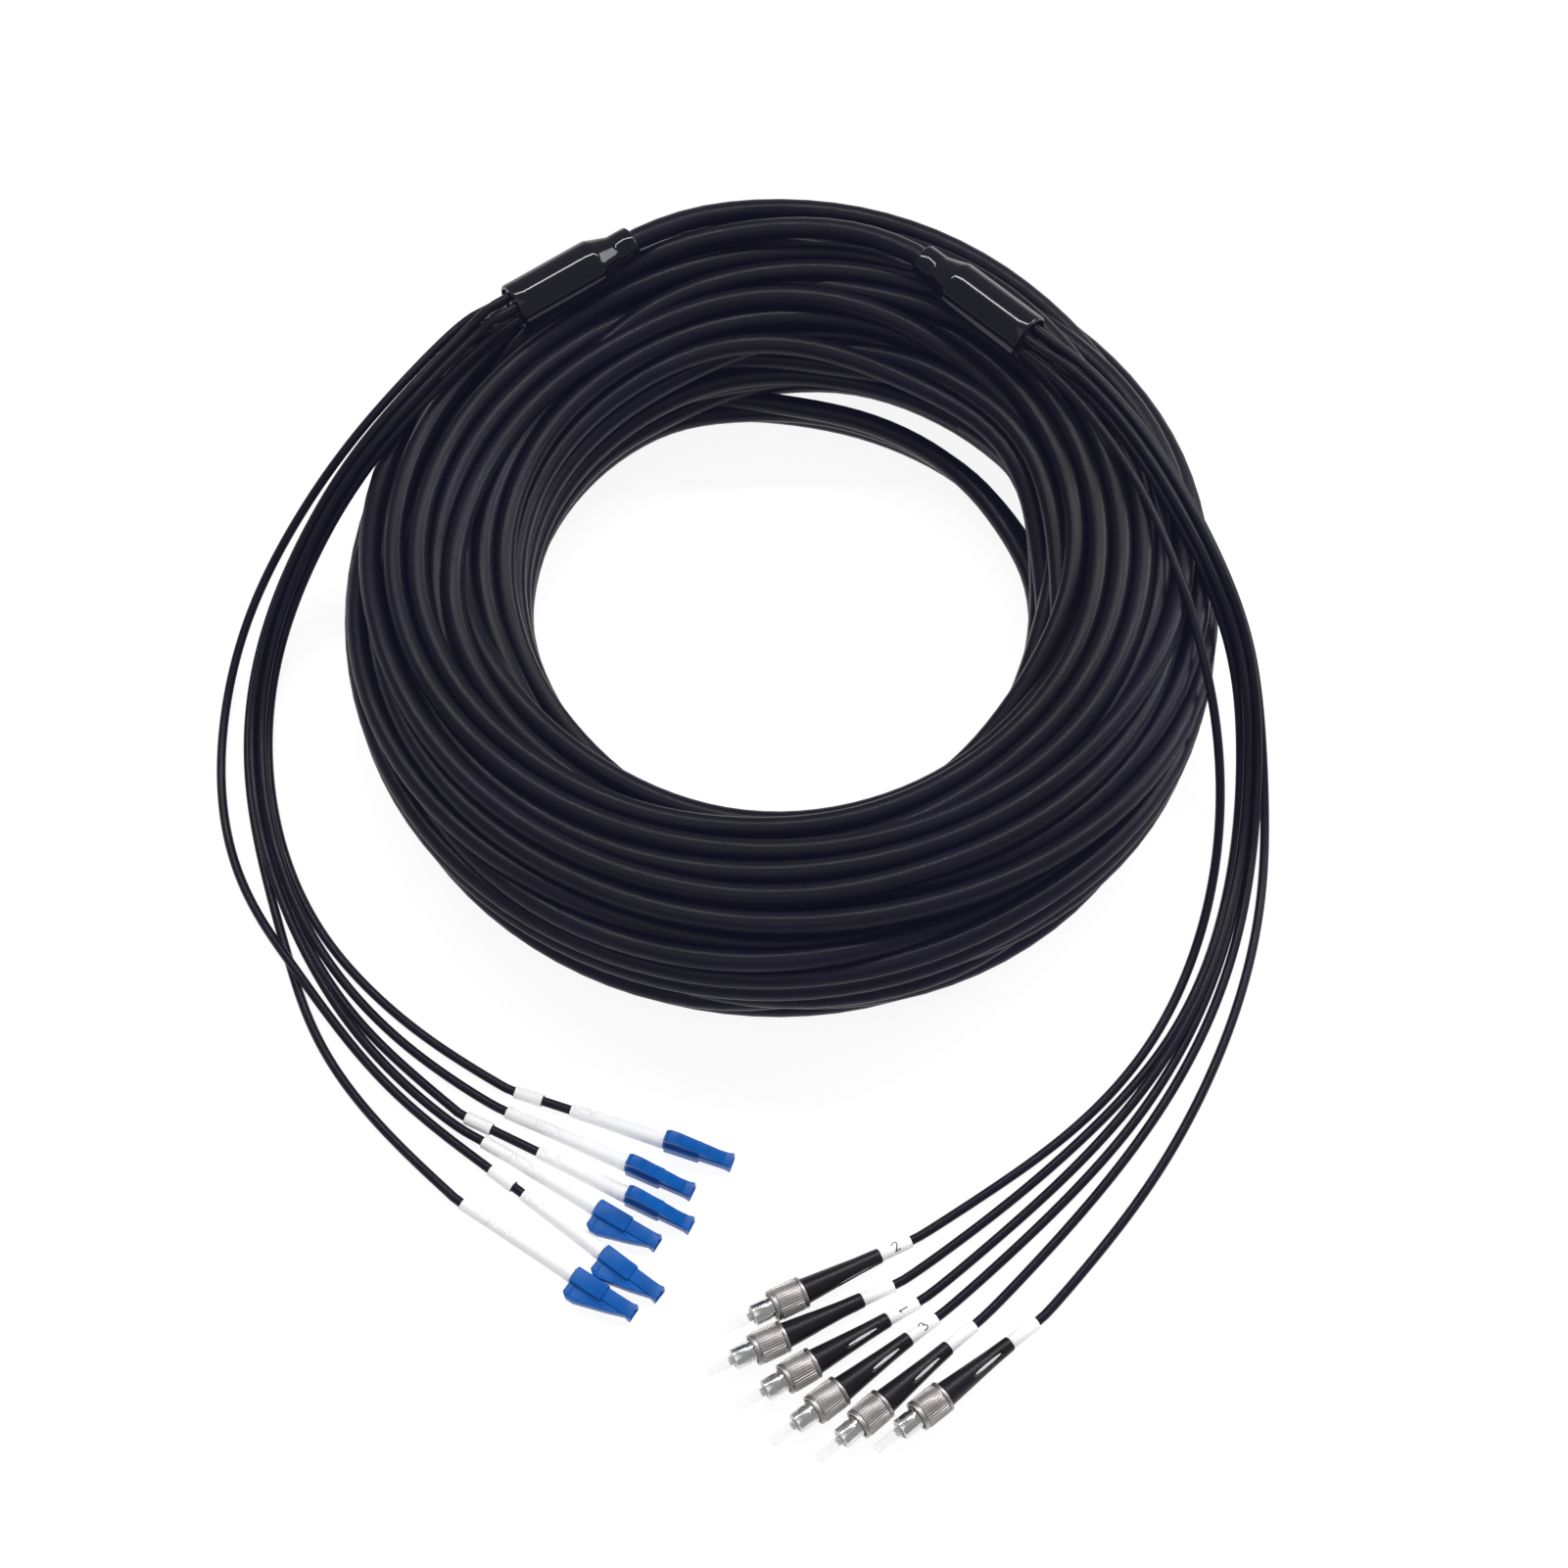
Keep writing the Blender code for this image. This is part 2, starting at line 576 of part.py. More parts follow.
def housing_mesh():
    """A blue housing: square rear body, slimmer nose with its bore and ferrule, and the
    latch that rises from the nose to its thumb end over the rear."""
    half = HOUSING_WIDTH / 2
    nose = NOSE_WIDTH / 2
    front = HOUSING_REAR + HOUSING_NOSE
    top = half + LATCH_HEIGHT
    rear = LATCH_SET_BACK
    toe = front - LATCH_TOE
    bend = toe - LATCH_TOE_LENGTH
    under = top - LATCH_THICKNESS
    clear = half + LATCH_CLEARANCE
    outer_line = [(rear, half - JOIN), (rear, top - LATCH_CORNER), (rear + LATCH_CORNER, top),
                  (rear + LATCH_THUMB, top), (bend, clear + LATCH_TOE_RISE), (toe, nose + JOIN / 2),
                  (toe, nose - JOIN)]
    window = [(rear + LATCH_ROOT, clear), (rear + LATCH_ROOT, under),
              (rear + LATCH_THUMB, under), (bend - LATCH_CORNER, clear)]
    steps = [
        ("BASE", mesh_of("rear", lambda form: block(form, (0.0, HOUSING_REAR), (-half, half), (-half, half)))),
        ("UNION", mesh_of("nose", lambda form: block(form, (HOUSING_REAR - JOIN, front),
                                                     (-nose, nose), (-nose, nose)))),
        ("UNION", mesh_of("latch", lambda form: bar(form, outer_line, LATCH_WIDTH))),
        ("DIFFERENCE", mesh_of("window", lambda form: bar(form, window, 2 * HOUSING_WIDTH))),
        ("DIFFERENCE", turned("bore", [(front - NOSE_BORE_DEPTH, NOSE_BORE_D / 2),
                                       (front + JOIN, NOSE_BORE_D / 2)], 12, False)),
        ("UNION", turned("ferrule", [(front - NOSE_BORE_DEPTH - JOIN, SMALL_FERRULE_D / 2),
                                     (front - FERRULE_SET_BACK, SMALL_FERRULE_D / 2)], 8, False)),
    ]
    mesh = combined("housing", steps)
    mesh.set_sharp_from_angle(angle=math.radians(25))
    return mesh


def build_latched_plugs():
    """The six latched plugs of the left tails, each with its label and boot."""
    label = label_mesh()
    boot = latch_boot_mesh()
    housing = housing_mesh()
    for number, (spot, heading, bare, roll) in LATCHED_PLUGS.items():
        tip = LABEL_LENGTH + bare * MM
        rear = tip + LATCH_BOOT_LENGTH + GAP
        matrix, start, axis = plug_matrix(spot, heading, rear, LABEL_D / 2, HOUSING_WIDTH / 2)
        place(f"label_left_{number}", label, matrix, "label")
        place(f"latch_boot_{number}", boot, along(matrix, tip), "white_boot")
        turn = Matrix.Rotation(math.radians(roll), 4, "X")
        place(f"latch_housing_{number}", housing, along(matrix, rear) @ turn, "blue_housing")
        build_tail("left", number, start, axis, tip - GAP)


def screw_boot_mesh():
    """A black boot of a threaded plug: slim at the cable, swelling to the nut."""
    tip = SCREW_BOOT_TIP_D / 2
    base = SCREW_BOOT_BASE_D / 2
    length = SCREW_BOOT_LENGTH
    profile = [(0.0, tip - BOOT_EDGE), (BOOT_EDGE, tip), (length * 0.3, tip * 0.8 + base * 0.2),
               (length * 0.75, tip * 0.3 + base * 0.7), (length, base)]
    return turned("screw_boot", profile, 12, False)


def barrel_mesh():
    """A barrel: its rear under the nut's lip, the flange that keeps the nut, the bare front
    with a key on top, and the capped ferrule."""
    radius = BARREL_D / 2
    flange = BARREL_FLANGE_D / 2
    flange_start = NUT_LIP + 2 * GAP
    flange_end = flange_start + FLANGE_LENGTH
    front = NUT_LENGTH + BARREL_FRONT
    cap = CAP_D / 2
    profile = [(0.0, radius), (flange_start, radius), (flange_start, flange), (flange_end, flange),
               (flange_end, radius), (front - BARREL_EDGE, radius), (front, radius - BARREL_EDGE),
               (front, cap), (front + CAP_LENGTH - cap / 2, cap * 0.9), (front + CAP_LENGTH, cap * 0.5)]
    turned_part = turned("barrel_turned", profile, 12, False)
    key_end = front - KEY_SET_BACK

    def key(form):
        block(form, (key_end - KEY_LENGTH, key_end), (-KEY_WIDTH / 2, KEY_WIDTH / 2),
              (radius * 0.6, radius + KEY_RISE))

    mesh = combined("barrel", [("BASE", turned_part), ("UNION", mesh_of("key", key))])
    mesh.set_sharp_from_angle(angle=math.radians(40))
    return mesh


def nut_mesh():
    """A knurled nut: a rim and a lip behind the flange, a wide bore in front, and grooves
    along its side, where every second point is pulled in by the knurl's depth."""
    outer = NUT_D / 2
    rim = outer - NUT_EASE
    lip = LIP_BORE_D / 2
    bore = NUT_BORE_D / 2
    profile = [
        (0.0, lip, False), (0.0, outer, False), (NUT_RIM, outer, False), (NUT_RIM, rim, True),
        (NUT_LENGTH - NUT_RIM, rim, True), (NUT_LENGTH, rim, False), (NUT_LENGTH, bore, False),
        (NUT_LIP, bore, False), (NUT_LIP, lip, False),
    ]

    def build(form):
        rings = []
        for along_x, radius, knurled in profile:
            ring = []
            for i in range(2 * KNURL_COUNT):
                angle = math.pi * i / KNURL_COUNT
                reach = radius - (KNURL_DEPTH if knurled and i % 2 else 0.0)
                ring.append(form.verts.new((along_x, reach * math.cos(angle), reach * math.sin(angle))))
            rings.append(ring)
        rings_between(form, rings, True)

    mesh = mesh_of("nut", build)
    soft_edges(mesh)
    return mesh


def build_screw_plugs():
    """The six threaded plugs of the right tails. Each nut has its origin on its own axis and
    turns freely on the barrel."""
    label = label_mesh()
    boot = screw_boot_mesh()
    barrel = barrel_mesh()
    nut = nut_mesh()
    tip = LABEL_LENGTH + SCREW_LABEL_GAP
    front = tip + SCREW_BOOT_LENGTH
    for number, (spot, heading) in SCREW_PLUGS.items():
        matrix, start, axis = plug_matrix(spot, heading, front, LABEL_D / 2, NUT_D / 2)
        place(f"label_right_{number}", label, matrix, "label")
        place(f"screw_boot_{number}", boot, along(matrix, tip), "black_boot")
        place(f"screw_barrel_{number}", barrel, along(matrix, front + GAP), "barrel")
        place(f"screw_nut_{number}", nut, along(matrix, front + GAP), "nut")
        build_tail("right", number, start, axis, tip - GAP)


def main():
    build_coil()
    build_trunk_ends()
    build_latched_plugs()
    build_screw_plugs()


main()
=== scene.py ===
"""Looks of the fibre breakout cable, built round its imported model.

Metres, +Z up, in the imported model's frame. The cable lies on the floor, z = 0. Every surface is
a grid of points worked out with numpy. Route points are measured from the coil's middle, across
the floor in hundredths of its outer radius and up in hundredths of its height.
"""

import logging
import math
from dataclasses import dataclass, field
from enum import Enum
from typing import Callable, Optional

import bpy
import numpy as np
from mathutils import Matrix, Vector


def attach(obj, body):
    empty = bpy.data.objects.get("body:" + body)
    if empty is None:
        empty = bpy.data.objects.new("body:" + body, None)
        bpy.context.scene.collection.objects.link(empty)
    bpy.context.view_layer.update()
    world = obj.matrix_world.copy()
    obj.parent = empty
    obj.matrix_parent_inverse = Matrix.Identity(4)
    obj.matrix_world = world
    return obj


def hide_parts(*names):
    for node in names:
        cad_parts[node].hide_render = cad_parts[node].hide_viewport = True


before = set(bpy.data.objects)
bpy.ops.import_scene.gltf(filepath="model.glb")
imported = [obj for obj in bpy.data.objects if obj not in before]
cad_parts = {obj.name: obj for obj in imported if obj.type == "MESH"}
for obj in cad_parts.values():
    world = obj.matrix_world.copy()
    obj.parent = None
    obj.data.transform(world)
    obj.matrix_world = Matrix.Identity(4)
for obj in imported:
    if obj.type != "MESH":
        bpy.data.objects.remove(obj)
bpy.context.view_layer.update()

LOG = logging.getLogger("breakout_cable")

MM = 0.001
GAP_MM = 0.3
GAP = GAP_MM * MM
COIL_OUTER_R = 141.5 * MM
COIL_HEIGHT = 65.0 * MM
COIL_PLACE = np.array([13.65, 66.38, 0.0]) * MM
MAIN_BODY = "cable"

# Label sleeves of both kinds of plug, in mm, and the bore of a plug's boot at its tip
LABEL_LENGTH = 9.0
LABEL_OUTER_D = 4.3
BOOT_BORE_R = 1.62


class Side(Enum):
    """The two ends of the trunk."""

    LEFT = "left"
    RIGHT = "right"

    @property
    def outward(self) -> int:
        """Sign of the outer side of this end's bundle of tails."""
        return -1 if self is Side.LEFT else 1


class Ends(Enum):
    """How a lofted skin is closed along its length."""

    CAPPED = "capped"
    LOOPED = "looped"


# Breakout boots: middle of the big end and heading from the neck to it
BOOT_PLACES = {
    Side.LEFT: ((-61.34, 60.14), 214.7),
    Side.RIGHT: ((56.61, 51.80), -42.6),
}

# Trunk from each boot's neck onto the coil
LEADS = {
    Side.LEFT: [(-24.4, 85.4, 111.4), (-16.6, 89.8, 106.5), (-8.1, 93.6, 99.4), (0.7, 96.4, 93.8),
                (10.6, 97.2, 91.1), (21.2, 94.9, 91.7), (31.1, 90.1, 94.6)],
    Side.RIGHT: [(23.3, 81.0, 111.7), (15.5, 83.7, 108.3), (5.7, 84.8, 106.8), (-4.2, 84.4, 106.8),
                 (-13.8, 82.4, 106.8)],
}

# Middle line of each bundle of tails, and each tail's lane beside it and lift above it
STATIONS = {
    Side.LEFT: [(-71.3, 53.9, 106.2), (-82.3, 41.6, 100.8), (-91.0, 32.2, 96.2),
                (-100.8, 24.0, 74.6), (-111.2, 13.4, 43.1), (-119.1, 0.7, 17.7),
                (-122.6, -16.2, 4.6), (-121.3, -36.4, 2.3), (-116.3, -56.2, 2.3),
                (-110.8, -69.6, 2.3), (-106.7, -78.0, 2.3), (-102.8, -84.9, 2.3),
                (-94.3, -97.7, 2.3)],
    Side.RIGHT: [(69.8, 42.8, 107.7), (79.1, 32.2, 104.6), (87.3, 17.7, 102.3), (94.3, 1.1, 98.5),
                 (101.2, -10.6, 83.8), (105.4, -17.4, 57.7), (107.6, -23.4, 33.1),
                 (108.6, -30.4, 15.4), (108.7, -40.3, 4.6), (106.3, -56.2, 2.3),
                 (101.4, -75.5, 2.3), (93.5, -94.3, 2.3), (82.8, -110.4, 2.3)],
}
LANES = {
    Side.LEFT: {
        "1": (-1.3, -1, -1, -1, -1, -1, -1, -1, -1, -1.3, -1.5, -2.3, -3.6),
        "2": (-.5,) * 11 + (-1.1, -1.9),
        "3": (0,) * 12 + (-.5,),
        "4": (.5,) * 13,
        "5": (2, 2, 2, 2.2, 2.6, 3.1, 3.2, 3.8, 3.9, 3.1, 1.95, 1.6, 1.3),
        "6": (1,) * 9 + (1.4, 1.95, 2.8, 4.2),
    },
    Side.RIGHT: {
        "2": (-1,) * 12 + (-1.2,),
        "3": (-.5,) * 12 + (-.4,),
        "4": (0,) * 12 + (.6,),
        "5": (.5,) * 9 + (.6, .9, 1.1, 1.7),
        "6": (1,) * 8 + (1.2, 2.0, 2.5, 3.1, 4.2),
    },
}
LIFTS = {
    Side.LEFT: {
        "2": (1,) * 11 + (.3, 0),
        "4": (1,) * 13,
        "5": (0,) * 9 + (.6, 1.25, .7, 0),
    },
    Side.RIGHT: {
        "3": (1,) * 13,
        "5": (1,) * 9 + (.8, .2, 0, 0),
    },
}

# Angle of each tail's hole about its boot's axis, from the outer side, in degrees
HOLES = {
    Side.LEFT: {"5": 0, "4": 60, "2": 120, "1": 180, "3": 240, "6": 300},
    Side.RIGHT: {"6": 0, "5": 60, "3": 120, "1": 180, "2": 240, "4": 300},
}

# Route of the right tail that runs apart from its bundle
LONE_ROUTE = [(66.8, 37.8, 109.2), (77.6, 23.3, 105.4), (85.9, 3.9, 101.5), (91.4, -16.2, 95.4),
              (95.5, -30.7, 84.6), (97.8, -40.3, 63.1), (99.1, -49.7, 40.0),
              (98.8, -59.7, 19.2), (97.2, -69.0, 7.1), (94.7, -76.0, 2.9)]

# Each tail from the end of its bundle to its plug
FANS = {
    "left_1": [(-76.8, -101.2, 2.3), (-67.1, -106.7, 2.3)],
    "left_2": [(-79.9, -104.2, 2.3), (-70.3, -110.5, 2.3)],
    "left_3": [(-83.7, -105.9, 2.3), (-76.0, -111.9, 2.3)],
    "left_4": [(-83.8, -109.8, 2.3), (-74.9, -117.5, 2.3)],
    "left_5": [(-84.9, -113.4, 2.3), (-73.9, -121.4, 2.3)],
    "left_6": [(-96.3, -110.0, 2.3), (-85.9, -122.8, 2.3), (-76.7, -130.2, 2.3)],
    "right_1": [(86.4, -95.4, 2.3), (76.3, -109.0, 2.3), (64.7, -120.8, 2.3),
                (53.0, -129.3, 2.3), (41.7, -136.7, 2.3)],
    "right_2": [(70.0, -118.7, 2.3), (59.4, -129.0, 2.3), (47.3, -138.9, 2.3),
                (35.3, -147.9, 2.3)],
    "right_3": [(72.1, -121.2, 2.3), (62.2, -131.4, 2.3), (51.2, -141.0, 2.3),
                (40.3, -150.5, 2.3)],
    "right_4": [(74.2, -123.7, 2.3), (65.2, -133.2, 2.3), (55.5, -142.8, 2.3),
                (44.5, -152.8, 2.3)],
    "right_5": [(76.3, -126.1, 2.3), (68.2, -136.3, 2.3), (59.0, -145.9, 2.3),
                (50.2, -155.5, 2.3)],
    "right_6": [(81.3, -132.5, 2.3), (71.4, -144.9, 2.3), (62.5, -155.1, 2.3)],
}

# Plugs: place and heading; for a latched plug also the bare cable behind its boot (mm) and roll
LATCHED_PLUGS = {
    "1": ((-25.16, -123.18), -19.0, 9.5, 0.0),
    "2": ((-33.22, -128.48), -24.3, 1.5, 0.0),
    "3": ((-33.14, -135.48), -26.5, 16.5, 0.0),
    "4": ((-39.72, -138.37), -31.0, 1.5, 90.0),
    "5": ((-38.16, -148.41), -37.0, 4.0, 90.0),
    "6": ((-44.24, -153.29), -33.0, 1.5, 90.0),
}
SCREW_PLUGS = {
    "1": ((4.95, -157.17), -153.1),
    "2": ((0.99, -166.71), -153.7),
    "3": ((7.21, -172.37), -148.7),
    "4": ((12.79, -178.23), -142.1),
    "5": ((21.77, -180.92), -138.9),
    "6": ((34.42, -179.43), -141.3),
}

# Numbers that can be read on labels, and how far each is turned on its film, in degrees
PRINTED_NUMBERS = {"1": ("2", 10.0), "3": ("1", 88.0), "4": ("3", 25.0)}

# Strokes of the numbers, in shares of their height
DIGIT_STROKES = {
    "1": [(-0.22, 0.28), (0.0, 0.5), (0.0, -0.5)],
    "2": [(-0.3, 0.26), (-0.22, 0.43), (0.0, 0.5), (0.22, 0.43), (0.3, 0.25), (0.22, 0.05),
          (0.0, -0.2), (-0.3, -0.5), (0.32, -0.5)],
    "3": [(-0.28, 0.38), (-0.1, 0.49), (0.1, 0.49), (0.27, 0.36), (0.25, 0.14), (0.03, 0.03),
          (0.28, -0.1), (0.3, -0.34), (0.12, -0.49), (-0.12, -0.49), (-0.3, -0.36)],
}

Profile = list[tuple[float, float]]
Colour = tuple[float, float, float, float]


def grey(value: float, tint: tuple[float, float, float] = (1.0, 1.0, 1.0)) -> Colour:
    """A grey of this value, times a tint."""
    return (value * tint[0], value * tint[1], value * tint[2], 1.0)


def unit(vectors: np.ndarray) -> np.ndarray:
    """The vectors scaled to length 1."""
    return vectors / np.maximum(np.linalg.norm(vectors, axis=-1, keepdims=True), 1e-12)


def direction(degrees: float, tilt: float = 0.0) -> np.ndarray:
    """The unit vector of a heading.

    Args:
        degrees: heading about +Z, from +X.
        tilt: angle above the floor, in radians.

    Returns:
        The unit vector, (3,).
    """
    heading = math.radians(degrees)
    return np.array([math.cos(heading) * math.cos(tilt), math.sin(heading) * math.cos(tilt),
                     math.sin(tilt)])


def to_frame(points: list) -> np.ndarray:
    """Route points in hundredths of the coil's outer radius and height, put in the frame."""
    scale = np.array([COIL_OUTER_R, COIL_OUTER_R, COIL_HEIGHT]) / 100
    return np.asarray(points, float) * scale + COIL_PLACE


def smooth_step(values: np.ndarray, low: float, high: float) -> np.ndarray:
    """0 below low, 1 above high, and 3t^2 - 2t^3 between."""
    t = np.clip((values - low) / (high - low), 0, 1)
    return t * t * (3 - 2 * t)


def smooth_route(points: np.ndarray, leave: np.ndarray, arrive: np.ndarray,
                 steps: int = 12) -> np.ndarray:
    """A smooth curve through points.

    Each piece is the cubic P(t) = h00 a + h10 sa + h01 b + h11 sb. The slope s at a point is half
    the way between its neighbours, and at the ends it is leave or arrive times the end chord.

    Args:
        points: the points, (n, 3).
        leave: unit direction at the first point.
        arrive: unit direction at the last point.
        steps: points on each piece.

    Returns:
        The curve's points, ((n - 1) * steps + 1, 3).
    """
    chords = np.linalg.norm(np.diff(points, axis=0), axis=1)
    slopes = np.empty_like(points)
    slopes[1:-1] = (points[2:] - points[:-2]) / 2
    slopes[0] = leave * chords[0]
    slopes[-1] = arrive * chords[-1]
    t = (np.arange(steps) / steps)[None, :, None]
    route = (points[:-1, None] * (2 * t ** 3 - 3 * t ** 2 + 1)
             + slopes[:-1, None] * (t ** 3 - 2 * t ** 2 + t)
             + points[1:, None] * (3 * t ** 2 - 2 * t ** 3)
             + slopes[1:, None] * (t ** 3 - t ** 2))
    return np.vstack([route.reshape(-1, 3), points[-1:]])


def reach_along(points: np.ndarray) -> np.ndarray:
    """Length of the polyline up to each of its points."""
    return np.concatenate([[0.0], np.cumsum(np.linalg.norm(np.diff(points, axis=0), axis=1))])


def even_points(points: np.ndarray, count: int) -> np.ndarray:
    """The polyline again, with its points at even steps.

    Args:
        points: the polyline, (n, 2) or (n, 3).
        count: how many points it gets.

    Returns:
        The new points, (count, 2) or (count, 3).
    """
    reach = reach_along(points)
    spots = np.linspace(0.0, reach[-1], count)
    return np.stack([np.interp(spots, reach, points[:, axis]) for axis in range(points.shape[1])],
                    axis=-1)


@dataclass
class Skin:
    """A surface while it is worked out.

    Attributes:
        points: its points, (n, 3).
        faces: point numbers of each face.
        corners: UV of every face corner, (total, 2): U once around, V along in metres.
    """

    points: np.ndarray
    faces: list
    corners: np.ndarray

    def placed(self, matrix: Matrix) -> "Skin":
        """The same skin moved by a matrix."""
        turn = np.array(matrix)
        return Skin(self.points @ turn[:3, :3].T + turn[:3, 3], self.faces, self.corners)

    def facing_out(self) -> "Skin":
        """The same skin, turned inside out if its signed volume is negative.

        The volume is the sum over a fan of triangles of each face, P0 . (P1 x P2).

        Returns:
            The skin with its faces pointing outwards.
        """
        volume = 0.0
        for size in {len(face) for face in self.faces}:
            block = self.points[np.array([face for face in self.faces if len(face) == size])]
            for step in range(1, size - 1):
                volume += np.einsum("ij,ij->i", block[:, 0],
                                    np.cross(block[:, step], block[:, step + 1])).sum()
        if volume >= 0:
            return self
        sizes = np.array([len(face) for face in self.faces])
        starts = np.repeat(np.cumsum(sizes) - sizes, sizes)
        spots = np.arange(len(starts)) - starts
        flipped = starts + np.repeat(sizes, sizes) - 1 - spots
        return Skin(self.points, [list(face)[::-1] for face in self.faces], self.corners[flipped])

    @staticmethod
    def joined(skins: "list[Skin]") -> "Skin":
        """Several skins as one.

        Args:
            skins: the skins.

        Returns:
            One skin with all their points and faces.
        """
        faces = []
        start = 0
        for skin in skins:
            faces += [[index + start for index in face] for face in skin.faces]
            start += len(skin.points)
        return Skin(np.vstack([skin.points for skin in skins]), faces,
                    np.vstack([skin.corners for skin in skins]))


def lofted(rings: np.ndarray, reach: np.ndarray, ends: Ends = Ends.CAPPED) -> Skin:
    """The skin through rings of points.

    S(row, column) = rings[row, column], with U = column / columns and V = reach[row].

    Args:
        rings: the points, (rows, columns, 3); columns turn right-handed about the way forward.
        reach: V of each row, in metres.
        ends: flat caps on the first and last ring, or the last ring joined to the first.

    Returns:
        The closed skin.
    """
    rows, columns = rings.shape[:2]
    bands = rows if ends is Ends.LOOPED else rows - 1
    row, column = (axis.ravel() for axis in np.meshgrid(np.arange(bands), np.arange(columns),
                                                        indexing="ij"))
    far, beside = (row + 1) % rows, (column + 1) % columns
    quads = np.stack([row * columns + column, row * columns + beside,
                      far * columns + beside, far * columns + column], axis=1)
    low, high = column / columns, (column + 1) / columns
    corners = np.stack([low, reach[row], high, reach[row], high, reach[far], low, reach[far]],
                       axis=1).reshape(-1, 2)
    faces = quads.tolist()
    if ends is Ends.CAPPED:
        faces.append(list(range(columns))[::-1])
        faces.append(list(range((rows - 1) * columns, rows * columns)))
        share = np.arange(columns) / columns
        corners = np.vstack([corners, np.stack([share[::-1], np.full(columns, reach[0])], axis=1),
                             np.stack([share, np.full(columns, reach[-1])], axis=1)])
    return Skin(rings.reshape(-1, 3), faces, corners).facing_out()


def fine_rows(profile: Profile, step: float) -> Profile:
    """A profile with rows added between its own.

    Args:
        profile: (x, r) in mm.
        step: longest distance between rows, in mm.

    Returns:
        The finer profile.
    """
    points = np.array(profile, float)
    rows = [points[:1]]
    for first, second in zip(points, points[1:]):
        count = max(1, math.ceil(np.linalg.norm(second - first) / step - 1e-9))
        rows.append(first + (second - first) * (np.arange(1, count + 1) / count)[:, None])
    return np.vstack(rows).tolist()


def revolved(profile: Profile, columns: int, ends: Ends = Ends.CAPPED,
             relief: Optional[Callable[[np.ndarray, np.ndarray], np.ndarray]] = None) -> Skin:
    """A turned piece about +X, cut by a relief.

    S(row, column) = (x, (r - d) cos a, (r - d) sin a) with a = 2 pi column / columns, and d the
    relief's depth at (x, a).

    Args:
        profile: (x, r) in mm.
        columns: points around.
        ends: capped, or a closed outline for a bored piece.
        relief: depth in mm at x (mm) and angle (radians).

    Returns:
        The skin, in metres.
    """
    x, radius = np.array(profile, float).T
    angle = 2 * np.pi * np.arange(columns) / columns
    depth = relief(x[:, None], angle[None, :]) if relief else np.zeros((len(x), columns))
    reach = radius[:, None] - depth
    rings = np.stack([np.broadcast_to(x[:, None], reach.shape), reach * np.cos(angle),
                      reach * np.sin(angle)], axis=-1)
    return lofted(rings * MM, reach_along(np.stack([x, radius], axis=1)) * MM, ends)


def tube(path: np.ndarray, radius: float, columns: int) -> Skin:
    """A round cord along a path.

    S(row, column) = P + r (cos a A + sin a B), with A level and square to the path, B = T x A.

    Args:
        path: centre of each ring, (n, 3).
        radius: the cord's radius, in metres.
        columns: points around.

    Returns:
        The closed skin.
    """
    along = unit(np.gradient(path, axis=0))
    level = unit(np.cross(np.array([0.0, 0.0, 1.0]), along))
    upward = np.cross(along, level)
    angle = (2 * np.pi * np.arange(columns) / columns)[None, :, None]
    rings = path[:, None] + radius * (np.cos(angle) * level[:, None]
                                      + np.sin(angle) * upward[:, None])
    return lofted(rings, reach_along(path))


def make_piece(name: str, skin: Skin, material: bpy.types.Material,
               replaces: tuple = (), body: str = MAIN_BODY,
               crease: float = 38.0) -> bpy.types.Object:
    """Puts a skin into a mesh object that rides on a body.

    Args:
        name: the piece's name.
        skin: its surface.
        material: its finish.
        replaces: the CAD nodes that it stands for.
        body: the body that it rides on.
        crease: corners over this angle stay sharp, in degrees.

    Returns:
        The new object.
    """
    mesh = bpy.data.meshes.new(name)
    mesh.from_pydata(skin.points.tolist(), [], skin.faces)
    mesh.uv_layers.new(name="along").data.foreach_set("uv", skin.corners.astype(np.float32).ravel())
    mesh.shade_smooth()
    mesh.set_sharp_from_angle(angle=math.radians(crease))
    mesh.materials.append(material)
    piece = bpy.data.objects.new(name, mesh)
    bpy.context.scene.collection.objects.link(piece)
    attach(piece, body)
    if replaces:
        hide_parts(*replaces)
    LOG.info("%s: %d faces, on %s", name, len(skin.faces), body)
    return piece


